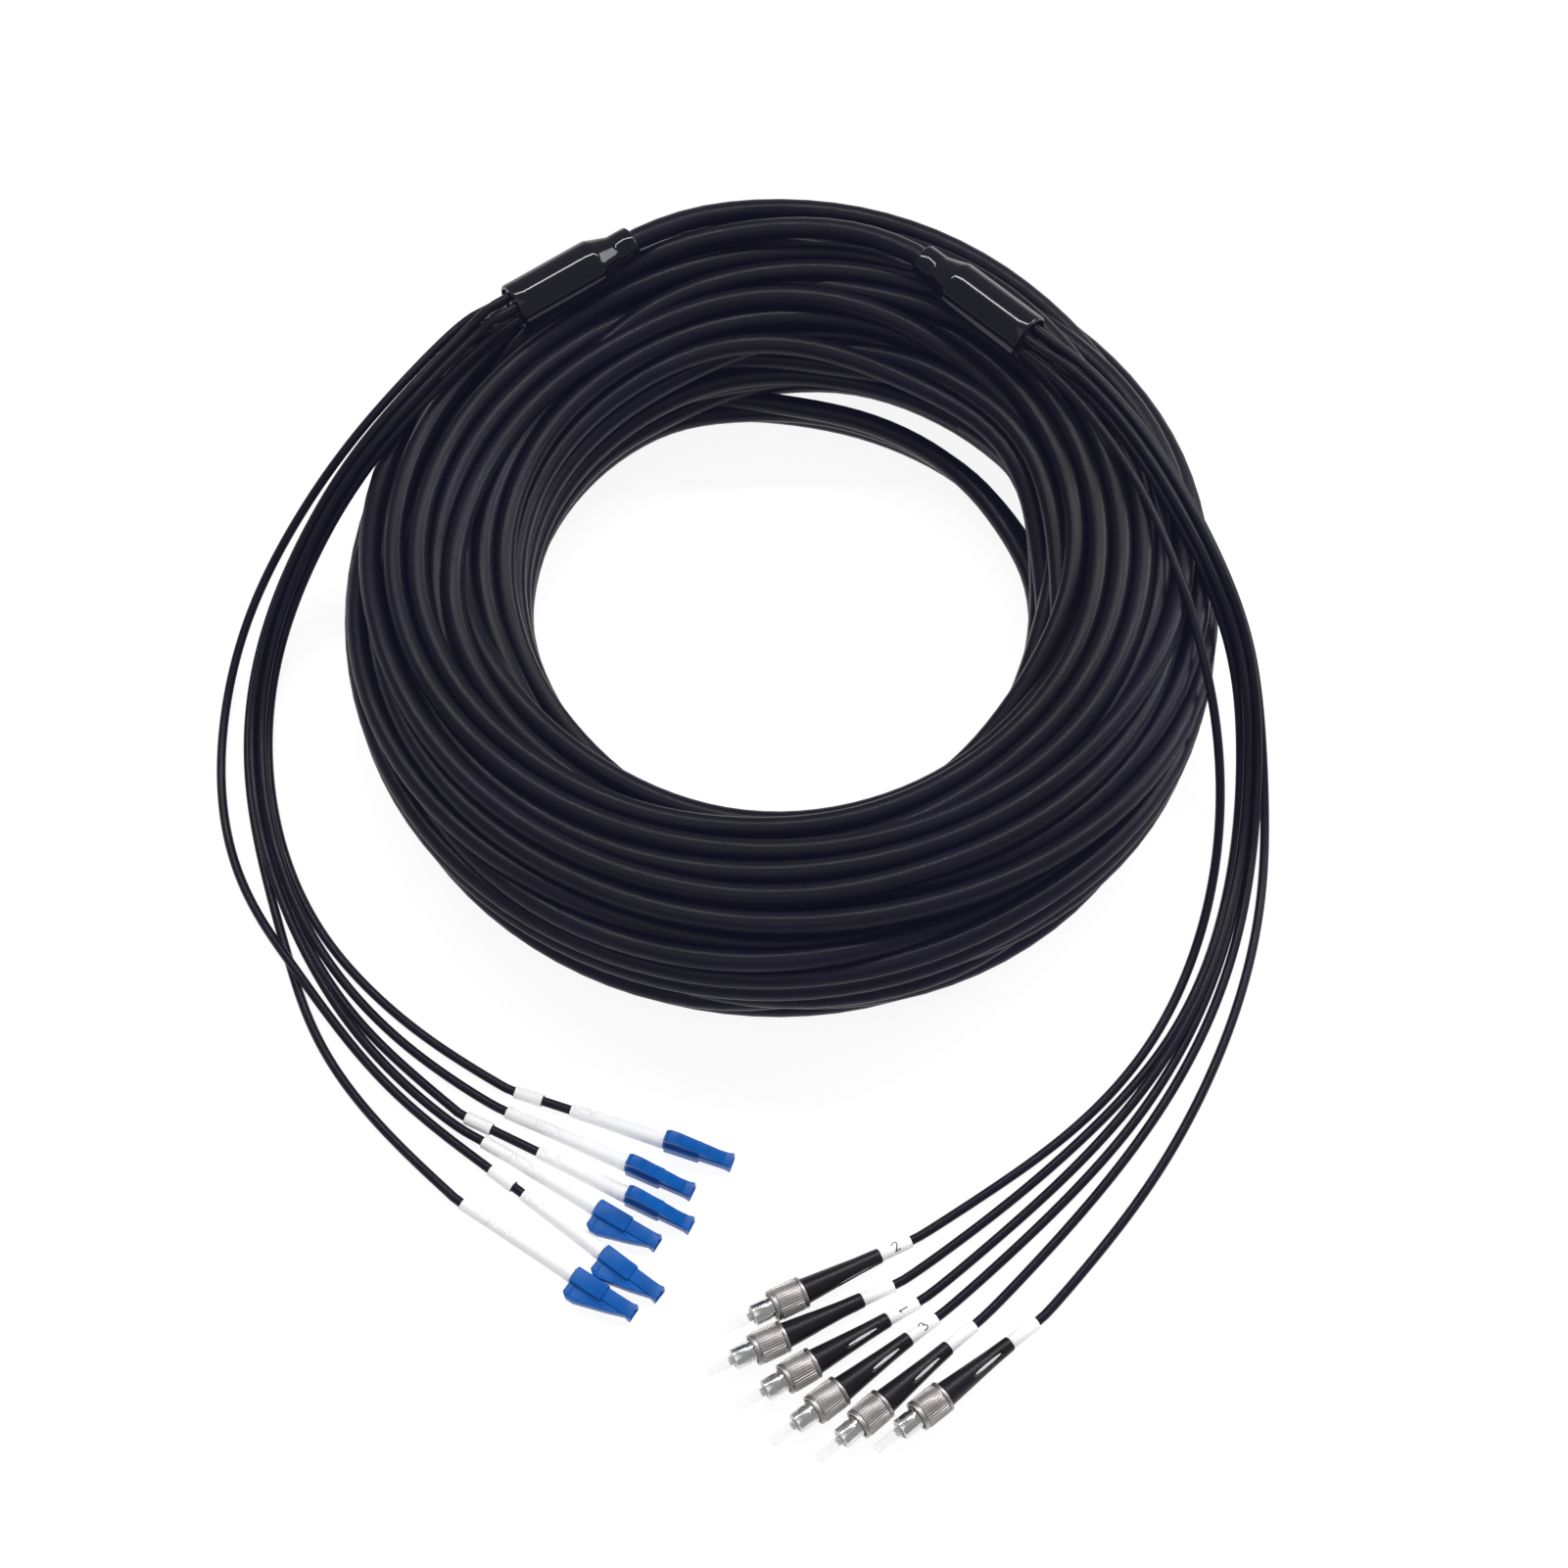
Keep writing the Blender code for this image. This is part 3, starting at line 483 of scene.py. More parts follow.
class Recipe:
    """Builds the nodes of one material."""

    def __init__(self, name: str) -> None:
        """Starts a material with its Principled shader.

        Args:
            name: the material's name.
        """
        self.material = bpy.data.materials.new(name)
        self.material.use_nodes = True
        self.tree = self.material.node_tree
        self.shader = self.tree.nodes["Principled BSDF"]

    def feed(self, socket: bpy.types.NodeSocket, value: object) -> None:
        """Links a socket to an input, or sets the input's own value.

        Args:
            socket: the input.
            value: a socket, or a plain value.
        """
        if isinstance(value, bpy.types.NodeSocket):
            self.tree.links.new(value, socket)
        else:
            socket.default_value = value

    def add(self, kind: str, settings: Optional[dict] = None, **inputs: object) -> bpy.types.Node:
        """Adds a node.

        Args:
            kind: the node's type, without its ShaderNode prefix.
            settings: attributes of the node.
            inputs: values or sockets for its inputs, by name with _ for a space.

        Returns:
            The node.
        """
        node = self.tree.nodes.new("ShaderNode" + kind)
        for key, value in (settings or {}).items():
            setattr(node, key, value)
        for key, value in inputs.items():
            self.feed(node.inputs[key.replace("_", " ")], value)
        return node

    def set(self, **inputs: object) -> None:
        """Feeds inputs of the Principled shader."""
        for key, value in inputs.items():
            self.feed(self.shader.inputs[key.replace("_", " ")], value)

    def calc(self, operation: str, first: object, second: object = 0.0) -> bpy.types.NodeSocket:
        """One Math node's result.

        Args:
            operation: what it does.
            first: its first value or socket.
            second: its second value or socket.

        Returns:
            The result's socket.
        """
        node = self.add("Math", {"operation": operation})
        self.feed(node.inputs[0], first)
        self.feed(node.inputs[1], second)
        return node.outputs[0]

    def spread(self, value: object, low: float, high: float, start: float = 0.35,
               end: float = 0.65) -> bpy.types.NodeSocket:
        """A value mapped from one range to another.

        Args:
            value: the value's socket.
            low: result at start and below.
            high: result at end and above.
            start: lower end of the value's range.
            end: upper end of the value's range.

        Returns:
            The result's socket.
        """
        node = self.add("MapRange", None, Value=value, From_Min=start, From_Max=end, To_Min=low,
                        To_Max=high)
        return node.outputs[0]

    def mixed(self, factor: object, first: Colour, second: Colour) -> bpy.types.NodeSocket:
        """Two colours mixed.

        Args:
            factor: 0 for the first, 1 for the second.
            first: one colour.
            second: the other colour.

        Returns:
            The colour's socket.
        """
        node = self.add("Mix", {"data_type": "RGBA"})
        self.feed(node.inputs[0], factor)
        self.feed(node.inputs[6], first)
        self.feed(node.inputs[7], second)
        return node.outputs[2]

    def place(self) -> bpy.types.NodeSocket:
        """Object coordinates."""
        return self.add("TexCoord").outputs["Object"]

    def ring_place(self, around: float, along: float) -> bpy.types.NodeSocket:
        """A seamless place on a round piece.

        The vector is (cos(2 pi U) around, sin(2 pi U) around, V along), so that a noise read
        there has no seam where U runs from 1 to 0.

        Args:
            around: size of the noise space around the piece.
            along: size of the noise space for each metre of length.

        Returns:
            The vector's socket.
        """
        spot = self.add("UVMap", {"uv_map": "along"}).outputs[0]
        parts = self.add("SeparateXYZ", None, Vector=spot)
        angle = self.calc("MULTIPLY", parts.outputs[0], 2 * math.pi)
        joined = self.add("CombineXYZ")
        self.feed(joined.inputs[0], self.calc("MULTIPLY", self.calc("COSINE", angle), around))
        self.feed(joined.inputs[1], self.calc("MULTIPLY", self.calc("SINE", angle), around))
        self.feed(joined.inputs[2], self.calc("MULTIPLY", parts.outputs[1], along))
        return joined.outputs[0]

    def noise(self, where: bpy.types.NodeSocket, scale: float,
              detail: float = 2.0) -> bpy.types.NodeSocket:
        """A noise's value at a place."""
        return self.add("TexNoise", None, Vector=where, Scale=scale, Detail=detail).outputs[0]

    def bump(self, height: object, depth: float, below: object = None) -> bpy.types.NodeSocket:
        """A bump, on top of another one if given.

        Args:
            height: the height's socket.
            depth: depth at height 1, in metres.
            below: the other bump's socket.

        Returns:
            The normal's socket.
        """
        node = self.add("Bump", None, Strength=1.0, Distance=depth, Height=height)
        if below is not None:
            self.feed(node.inputs["Normal"], below)
        return node.outputs[0]


@dataclass(frozen=True)
class PlasticFinish:
    """An extruded or moulded plastic: two close tones, streaks along it, and a fine grain.

    Attributes:
        name: the material's name.
        tone: its main colour.
        other_tone: the colour that it drifts to.
        gloss: lowest and highest roughness.
        drift: how fast the tone drifts, for each metre.
        streaks: noise size around and along, for each metre, of its lengthwise streaks.
        grain: scale of its fine grain, for each metre.
        grain_depth: depth of the grain, in metres.
        specular: strength of its mirror-like reflection, 0.5 for a plain plastic.
        painted_glow: a painted glow, emission that the plastic gives off though it is no lamp,
            which lifts the darkest tones.
    """

    name: str
    tone: Colour
    other_tone: Colour
    gloss: tuple[float, float]
    drift: float = 25.0
    streaks: tuple[float, float] = (3.0, 60.0)
    grain: float = 1400.0
    grain_depth: float = 0.00003
    specular: float = 0.5
    painted_glow: Colour = (0.0, 0.0, 0.0, 1.0)

    def build(self) -> bpy.types.Material:
        """Builds the material.

        Returns:
            The new material.
        """
        recipe = Recipe(self.name)
        where = recipe.place()
        drift = recipe.noise(where, self.drift)
        streak = recipe.noise(recipe.ring_place(*self.streaks), 1.0, 3.0)
        blend = recipe.calc("MULTIPLY", recipe.spread(drift, 0.0, 1.0),
                            recipe.spread(streak, 0.6, 1.0))
        grain = recipe.noise(where, self.grain, 3.0)
        # The emission is a painted glow: light that the plastic gives off though it is no lamp.
        recipe.set(Base_Color=recipe.mixed(blend, self.tone, self.other_tone),
                   Roughness=recipe.spread(streak, *self.gloss),
                   Normal=recipe.bump(grain, self.grain_depth,
                                      recipe.bump(streak, self.grain_depth * 1.5)),
                   Specular_IOR_Level=self.specular, Emission_Color=self.painted_glow,
                   Emission_Strength=1.0)
        return recipe.material


@dataclass(frozen=True)
class MetalFinish:
    """A turned and plated metal: rings along it from the tool, and darker dust in its drift.

    Attributes:
        name: the material's name.
        tone: its colour.
        dull_tone: its colour where it is dull.
        gloss: lowest and highest roughness.
        rings: turning marks for each metre.
        ring_depth: depth of the marks, in metres.
    """

    name: str
    tone: Colour
    dull_tone: Colour
    gloss: tuple[float, float]
    rings: float = 4500.0
    ring_depth: float = 0.000004

    def build(self) -> bpy.types.Material:
        """Builds the material.

        Returns:
            The new material.
        """
        recipe = Recipe(self.name)
        where = recipe.place()
        drift = recipe.noise(where, 150.0, 2.0)
        turned = recipe.noise(recipe.ring_place(0.05, self.rings), 1.0, 1.0)
        recipe.set(Base_Color=recipe.mixed(recipe.spread(drift, 0.0, 1.0), self.tone,
                                           self.dull_tone),
                   Metallic=1.0, Roughness=recipe.spread(turned, *self.gloss),
                   Normal=recipe.bump(turned, self.ring_depth))
        return recipe.material


@dataclass(frozen=True)
class ClearFinish:
    """A thin clear plastic with a light haze.

    Attributes:
        name: the material's name.
        tone: its colour.
        hazy_tone: its colour where it is hazy.
        roughness: its mean roughness.
        index: its index of refraction, low because its wall is thin.
    """

    name: str
    tone: Colour
    hazy_tone: Colour
    roughness: float
    index: float = 1.12

    def build(self) -> bpy.types.Material:
        """Builds the material.

        Returns:
            The new material.
        """
        recipe = Recipe(self.name)
        haze = recipe.noise(recipe.place(), 900.0, 3.0)
        recipe.set(Base_Color=recipe.mixed(recipe.spread(haze, 0.0, 1.0), self.tone,
                                           self.hazy_tone),
                   Roughness=recipe.spread(haze, self.roughness * 0.8, self.roughness * 1.2),
                   Transmission_Weight=1.0, IOR=self.index, Normal=recipe.bump(haze, 0.000003))
        return recipe.material


class Finishes:
    """Every finish of the cable, each built once."""

    def __init__(self) -> None:
        """Builds the materials."""
        # Painted glow: a faint violet-blue emission on the black plastics, which lifts their
        # darkest tones.
        painted_glow = grey(0.0045, (1.0, 0.92, 2.35))
        self.jacket = PlasticFinish("trunk_jacket", grey(0.0045, (1.0, 1.0, 1.05)),
                                    grey(0.0055, (0.95, 0.8, 2.2)), (0.30, 0.40), specular=0.13,
                                    drift=14.0, painted_glow=painted_glow).build()
        self.tail = PlasticFinish("tail_jacket", grey(0.0045, (1.0, 0.98, 1.1)),
                                  grey(0.0055, (0.95, 0.85, 1.9)), (0.30, 0.40),
                                  streaks=(2.0, 90.0), specular=0.15, painted_glow=painted_glow).build()
        self.breakout = PlasticFinish("breakout_shell", grey(0.003, (1.0, 0.98, 1.15)),
                                      grey(0.004, (1.0, 0.95, 1.4)), (0.07, 0.1), painted_glow=painted_glow,
                                      grain_depth=0.000001, specular=0.3).build()
        # Painted glow on the white label and boot: a light grey emission that lifts their shaded
        # sides towards white.
        self.label = PlasticFinish("label_film", grey(0.93), grey(0.9, (1.0, 1.0, 0.985)),
                                   (0.38, 0.5), drift=180.0, grain=700.0, grain_depth=0.00001,
                                   painted_glow=grey(0.05)).build()
        self.white_boot = PlasticFinish("white_boot_rubber", grey(0.93, (1.0, 1.0, 1.005)),
                                        grey(0.9, (0.99, 0.99, 1.01)), (0.46, 0.58), drift=120.0,
                                        grain=1100.0, grain_depth=0.00001,
                                        painted_glow=grey(0.05)).build()
        self.blue = PlasticFinish("blue_housing_plastic", (0.001, 0.085, 0.36, 1.0),
                                  (0.002, 0.105, 0.43, 1.0), (0.26, 0.34), drift=160.0,
                                  grain_depth=0.000003, specular=0.16).build()
        self.black_boot = PlasticFinish("black_boot_rubber", grey(0.0075, (1.0, 0.97, 1.15)),
                                        grey(0.010, (0.95, 0.9, 1.6)), (0.3, 0.4), drift=90.0,
                                        grain_depth=0.000004, specular=0.25).build()
        # Painted highlight: light grey strips set in the black boots' slots, standing in for the
        # bright reflection there.
        self.painted_slot_highlight = PlasticFinish("boot_painted_slot_highlight", grey(0.75), grey(0.65), (0.3, 0.45),
                                   drift=200.0).build()
        self.ceramic = PlasticFinish("ferrule_ceramic", grey(0.84, (1.0, 0.99, 0.95)),
                                     grey(0.8, (1.0, 0.98, 0.93)), (0.12, 0.2), drift=300.0,
                                     grain_depth=0.000004).build()
        self.ink = PlasticFinish("label_ink", grey(0.03), grey(0.05), (0.4, 0.6)).build()
        self.chrome = MetalFinish("barrel_plating", grey(0.78, (1.0, 0.99, 0.98)), grey(0.7),
                                  (0.14, 0.2), ring_depth=0.000001).build()
        self.knurled = MetalFinish("nut_plating", grey(0.46, (1.0, 0.955, 0.94)),
                                   grey(0.38, (1.0, 0.95, 0.93)), (0.38, 0.46),
                                   ring_depth=0.0000005).build()
        self.clear = ClearFinish("cap_plastic", grey(0.98), grey(0.94), 0.12).build()


@dataclass(frozen=True)
class FarGap:
    """The slit at the coil's far side, between the bulk of the turns and a few loose ones.

    Each array has one value for each station of a turn.

    Attributes:
        lean: how much radius a height of 1 is worth, as seen from the camera.
        window: 1 where the slit is open, 0 where it is shut.
        hold: how firmly the loose turns keep their place.
        limit: least seen radius of the bulk of the turns, in mm.
    """

    lean: np.ndarray
    window: np.ndarray
    hold: np.ndarray
    limit: np.ndarray


@dataclass
class Winding:
    """The trunk: one cord from the left boot's neck, round the coil, to the right boot's neck.

    At each of the stations of a turn the cord has a radius and a height. They start from a slow
    wander through the coil's section and are then relaxed: turns closer than a diameter push
    each other apart, the cord is smoothed along its length, and all stay in the section.

    Attributes:
        diameter: the trunk's diameter, in mm.
        stations: stations in a turn.
        turns: whole turns, the last one part filled.
        last: stations filled in the last turn.
        first_azimuth: azimuth of the first station, in degrees; it falls along the cord.
        middle: radius and height of the section's middle, in mm.
        half: half width and half height of the section for the centres, in mm.
        rounding: exponent of the section's superellipse.
        far_rounding: the same at the far side, where the section is squarer.
        twist: how far the turns roll about the section's middle at the near side, in degrees.
        rounds: relaxation steps.
        guided: steps in which the cord is still drawn to its guide.
        gap_round: step from which the far gap is opened.
        seed: seed of the wander.
        sides: points around the cord.
        chord_places: radius and height of the loose turns in the far gap, in mm, lowest first.
        gap_reach: least seen radius of the other turns beside the gap, in mm.
        bore_reach: least seen radius of the other turns elsewhere at the far side, in mm.
        ease: push between turns that are close but don't touch, as a share of the full one.
        left_shift: how much nearer and lower the left lead lies than its route, in mm.
        left_landing: radius and height where the left lead joins the turns, in mm.
        left_fall: stations that its way there takes.
        right_landing: radius and height where the right lead leaves the turns, in mm.
        right_rise: stations that its way from there takes.
    """

    diameter: float = 7.0
    stations: int = 96
    turns: int = 61
    last: int = 13
    first_azimuth: float = 112.5
    middle: tuple[float, float] = (111.0, 32.5)
    half: tuple[float, float] = (27.0, 29.0)
    rounding: float = 2.6
    far_rounding: float = 5.0
    twist: float = 75.0
    rounds: int = 260
    guided: int = 120
    gap_round: int = 50
    seed: int = 3
    sides: int = 12
    chord_places: tuple = ((82.7, 3.5), (82.5, 10.4), (77.3, 15.0))
    gap_reach: float = 106.5
    bore_reach: float = 84.0
    ease: float = 0.08
    left_shift: tuple[float, float] = (2.6, 1.2)
    left_landing: tuple[float, float] = (131.5, 47.0)
    left_fall: int = 12
    right_landing: tuple[float, float] = (118.0, 57.0)
    right_rise: int = 13

    def softened(self, places: np.ndarray, passes: int) -> np.ndarray:
        """Places smoothed along the cord: each becomes a quarter, half and quarter of three.

        Args:
            places: radius and height at each station, (n, 2); the first and last are kept.
            passes: how often they are smoothed.

        Returns:
            The smoothed places, (n, 2).
        """
        for _ in range(passes):
            mean = 0.25 * places[:-2] + 0.5 * places[1:-1] + 0.25 * places[2:]
            places = np.vstack([places[:1], mean, places[-1:]])
        return places

    def wander(self, turn_count: np.ndarray, draws: np.random.Generator) -> np.ndarray:
        """A slow wander from -1 to 1.

        It is a sum of five slow and three faster sines of the turn count, spread evenly by the
        error function of its size, erf(s) = 1 - (a1 t + ... + a5 t^5) exp(-s^2), t = 1 / (1 + ps).

        Args:
            turn_count: turns up to each station, (n,).
            draws: the random numbers.

        Returns:
            The wander at each station, (n,).
        """
        slow, fast = draws.uniform(0.05, 0.45, 5), draws.uniform(0.7, 1.6, 3)
        pace = np.concatenate([slow, fast])
        weight = np.concatenate([np.ones(len(slow)), np.full(len(fast), 0.36)])
        phase = draws.uniform(0, 2 * np.pi, len(pace))
        total = (weight[:, None] * np.sin(2 * np.pi * pace[:, None] * turn_count
                                          + phase[:, None])).sum(0)
        total /= np.sqrt((weight ** 2).sum() / 2)
        size = np.abs(total) / math.sqrt(2)
        t = 1 / (1 + 0.3275911 * size)
        tail = ((((1.061405429 * t - 1.453152027) * t + 1.421413741) * t - 0.284496736) * t
                + 0.254829592) * t * np.exp(-size * size)
        return np.sign(total) * (1 - tail)

    def guides(self) -> np.ndarray:
        """Where the cord would like to be.

        Two wanders u and v are spread over a disc, x = u sqrt(1 - v^2 / 2) and the same for y,
        rolled by the twist at the near side, and stretched over the section.

        Returns:
            Radius and height at each station, (n, 2), in mm.
        """
        draws = np.random.default_rng(self.seed)
        count = np.arange(self.turns * self.stations) / self.stations
        u, v = self.wander(count, draws), self.wander(count, draws)
        x, y = u * np.sqrt(1 - v * v / 2), v * np.sqrt(1 - u * u / 2)
        azimuth = np.resize(self.azimuths() % 360, len(count))
        turn = np.radians(self.twist) * smooth_step(azimuth, 192, 256) * (
            1 - smooth_step(azimuth, 292, 352))
        x, y = x * np.cos(turn) - y * np.sin(turn), x * np.sin(turn) + y * np.cos(turn)
        return np.stack([self.middle[0] + self.half[0] * x, self.middle[1] + self.half[1] * y], -1)

    def azimuths(self) -> np.ndarray:
        """Azimuth of each station of a turn, in degrees, falling."""
        return self.first_azimuth - 360.0 * np.arange(self.stations) / self.stations

    def lead_places(self, side: Side) -> np.ndarray:
        """A lead's route about the coil's axis.

        Args:
            side: which lead.

        Returns:
            Azimuth (degrees), radius and height (mm) along the route, (n, 3).
        """
        local = (lead_route(side) - COIL_PLACE) / MM
        azimuth = np.degrees(np.arctan2(local[:, 1], local[:, 0]))
        return np.stack([azimuth, np.hypot(local[:, 0], local[:, 1]), local[:, 2]], axis=1)

    def pinned(self) -> tuple[np.ndarray, np.ndarray]:
        """The stations whose place is fixed: the leads, their landings and the unused ones.

        Between a lead and its landing the place is a smooth step from one to the other.

        Returns:
            Which stations they are, and the radius and height of all stations, in mm.
        """
        total = self.turns * self.stations
        used = (self.turns - 1) * self.stations + self.last
        places = np.tile(np.array([self.middle[0], -900.0]), (total, 1))
        fixed = np.zeros(total, bool)
        fixed[used:] = True
        step = 360.0 / self.stations
        azimuth = self.first_azimuth - step * np.arange(total)

        lead = self.lead_places(Side.LEFT)
        count = int((self.first_azimuth - lead[-1, 0]) / step) + 1
        spots = azimuth[:count]
        places[:count, 0] = np.interp(spots, lead[::-1, 0], lead[::-1, 1])
        places[:count, 1] = np.interp(spots, lead[::-1, 0], lead[::-1, 2])
        places[:count] -= (np.array(self.left_shift)
                           * smooth_step(np.arange(count), 1, 7)[:, None])
        fall = smooth_step(np.arange(1, self.left_fall + 1), 0, self.left_fall)[:, None]
        start, landed = places[count - 1], count + self.left_fall
        places[count:landed] = start + (np.array(self.left_landing) - start) * fall
        fixed[:landed] = True

        lead = self.lead_places(Side.RIGHT)
        end_azimuth = azimuth[used - 1] + 360.0 * (self.turns - 1)
        count = int((lead[-1, 0] - end_azimuth) / step) + 1
        spots = end_azimuth + step * np.arange(count)[::-1]
        places[used - count:used, 0] = np.interp(spots, lead[:, 0], lead[:, 1])
        places[used - count:used, 1] = np.interp(spots, lead[:, 0], lead[:, 2])
        rise = smooth_step(np.arange(self.right_rise), 0, self.right_rise)[:, None]
        first, low = used - count, np.array(self.right_landing)
        places[first - self.right_rise:first] = low + (places[first] - low) * rise
        fixed[first - self.right_rise:used] = True
        return fixed, places

    def contained(self, places: np.ndarray) -> np.ndarray:
        """Places outside the section scaled back onto its superellipse |x|^p + |y|^p = 1.

        Args:
            places: radius and height at each station, (n, 2), in mm.

        Returns:
            The places, none outside.
        """
        azimuth = np.resize(self.azimuths(), len(places))
        far = smooth_step(azimuth, 40, 66) * (1 - smooth_step(azimuth, 100, 112))
        power = self.rounding + (self.far_rounding - self.rounding) * far
        offset = (places - self.middle) / self.half
        size = (np.abs(offset) ** power[:, None]).sum(-1) ** (1 / power)
        return self.middle + offset / np.maximum(size, 1)[..., None] * self.half

    def pushed(self, grid: np.ndarray, strength: float) -> np.ndarray:
        """Turns at the same station pushed apart where they are closer than a diameter.

        Args:
            grid: radius and height, (turns, stations, 2), in mm.
            strength: share of the overlap that one step takes away.

        Returns:
            The moved places, (turns, stations, 2).
        """
        apart = grid[:, None] - grid[None]
        distance = np.sqrt((apart ** 2).sum(-1)) + 1e-6
        push = np.clip(self.diameter * 1.01 - distance, 0, None)
        push += self.ease * np.clip(self.diameter * 1.16 - distance, 0, None)
        turn = np.arange(len(grid))
        push[turn, turn] = 0
        moved = ((push / distance)[..., None] * apart).sum(1)
        touching = np.maximum(1, (push > 0).sum(1)) ** 0.5
        return grid + 0.5 * strength * moved / touching[..., None]

    def far_gap(self) -> FarGap:
        """The far gap's four rules at each station of a turn.

        The seen radius of a place is its radius plus lean times its height, with lean the slope
        of the view there, a + b sin(azimuth).

        Returns:
            The rules.
        """
        azimuth = self.azimuths()
        lean = 0.114 + 0.5245 * np.sin(np.radians(azimuth))
        window = smooth_step(azimuth, 8, 30) * (1 - smooth_step(azimuth, 78, 98))
        hold = smooth_step(azimuth, 6, 26) * (1 - smooth_step(azimuth, 82, 100))
        window[azimuth < 0] = 0
        hold[azimuth < 0] = 0
        limit = self.bore_reach + (self.gap_reach - self.bore_reach) * window
        limit[lean < 0.1] = 0
        return FarGap(lean, window, hold, limit)

    def loose_turns(self, grid: np.ndarray, gap: FarGap) -> tuple[np.ndarray, np.ndarray]:
        """Chooses the turns that run apart in the far gap: those seen furthest in.

        Args:
            grid: radius and height, (turns, stations, 2), in mm.
            gap: the far gap's rules.

        Returns:
            Which turns are loose, (turns,), and the place that each of them keeps, in mm.
        """
        is_open = gap.window > 0.9
        core = grid[1:-1, is_open]
        seen = (core[..., 0] + gap.lean[is_open] * core[..., 1]).mean(1)
        turns = 1 + np.argsort(seen)[:len(self.chord_places)]
        order = turns[np.argsort(grid[turns][:, is_open, 1].mean(1))]
        loose = np.zeros(self.turns, bool)
        loose[order] = True
        return loose, np.array(self.chord_places)[np.argsort(np.argsort(order))]

    def opened(self, grid: np.ndarray, gap: FarGap, loose: np.ndarray, targets: np.ndarray,
               strength: float) -> np.ndarray:
        """One step that opens the far gap.

        Loose turns are drawn to their places. Where another turn's seen radius is under the
        limit, it moves along (1, lean) by what it is short of.

        Args:
            grid: radius and height, (turns, stations, 2), in mm.
            gap: the far gap's rules.
            loose: which turns are loose.
            targets: the places of the loose turns, in mm.
            strength: 0 to 1, how hard the loose turns are drawn.

        Returns:
            The moved places, (turns, stations, 2).
        """
        grid = grid.copy()
        pull = 0.35 * gap.hold[None, :, None] * strength
        grid[loose] += pull * (targets[:, None] - grid[loose])
        bulk = grid[~loose]
        seen = bulk[..., 0] + gap.lean * bulk[..., 1]
        short = np.clip(gap.limit - seen, 0, None) / (1 + gap.lean ** 2)
        bulk[..., 0] += short
        bulk[..., 1] += short * gap.lean
        grid[~loose] = bulk
        return grid

    def relaxed(self) -> np.ndarray:
        """The cord's places after all rounds of pushing, smoothing and containing.

        Returns:
            Radius and height at every station in use, (n, 2), in mm.
        """
        guides = self.guides()
        fixed, pins = self.pinned()
        places = np.where(fixed[:, None], pins, guides)
        shape = (self.turns, self.stations, 2)
        gap = self.far_gap()
        loose, targets = np.zeros(self.turns, bool), np.zeros((0, 2))
        for step in range(self.rounds):
            grid = places.reshape(shape)
            for _ in range(2):
                grid = self.pushed(grid, 0.9 if step < self.rounds - 40 else 0.6)
            places = self.softened(grid.reshape(-1, 2), 2 if step < self.rounds - 60 else 1)
            if step < self.guided:
                places = places + 0.01 * (guides - places)
            places = self.contained(places)
            if step == self.gap_round:
                loose, targets = self.loose_turns(places.reshape(shape), gap)
            if step >= self.gap_round:
                strength = min(1.0, (step - self.gap_round) / 40)
                places = self.opened(places.reshape(shape), gap, loose, targets,
                                     strength).reshape(-1, 2)
            places = np.where(fixed[:, None], pins, places)
        LOG.info("loose turns in the far gap: %s", np.flatnonzero(loose).tolist())
        return self.softened(places[:(self.turns - 1) * self.stations + self.last], 8)

    def path(self) -> np.ndarray:
        """The cord's centre line, from inside the left boot's neck to inside the right one's.

        A place of radius r and height h at azimuth a is (r cos a, r sin a, h).

        Returns:
            The line's points, (n, 3), in metres.
        """
        places = self.relaxed()
        azimuth = np.radians(self.first_azimuth - 360.0 * np.arange(len(places)) / self.stations)
        turns = np.stack([places[:, 0] * np.cos(azimuth), places[:, 0] * np.sin(azimuth),
                          places[:, 1]], axis=1) * MM + COIL_PLACE
        ends = []
        for side in Side:
            start = neck_mouth(side)
            inside = direction(BOOT_PLACES[side][1]) * 1.5 * MM
            ends.append([start + inside, start])
        return np.vstack([ends[0], turns, ends[1][::-1]])

    def build(self, finishes: Finishes, boots: list) -> np.ndarray:
        """Args:
            finishes: the materials.
            boots: the breakout boots on its ends; not used.

        Returns:
            Its centre line.
        """
        path = self.path()
        radius = self.diameter / 2 * MM
        path[:, 2] = np.maximum(path[:, 2], radius)
        piece = make_piece("trunk_cord", tube(path, radius, self.sides), finishes.jacket,
                           ("trunk_coil", "trunk_lead_left", "trunk_lead_right"), crease=80.0)
        return path


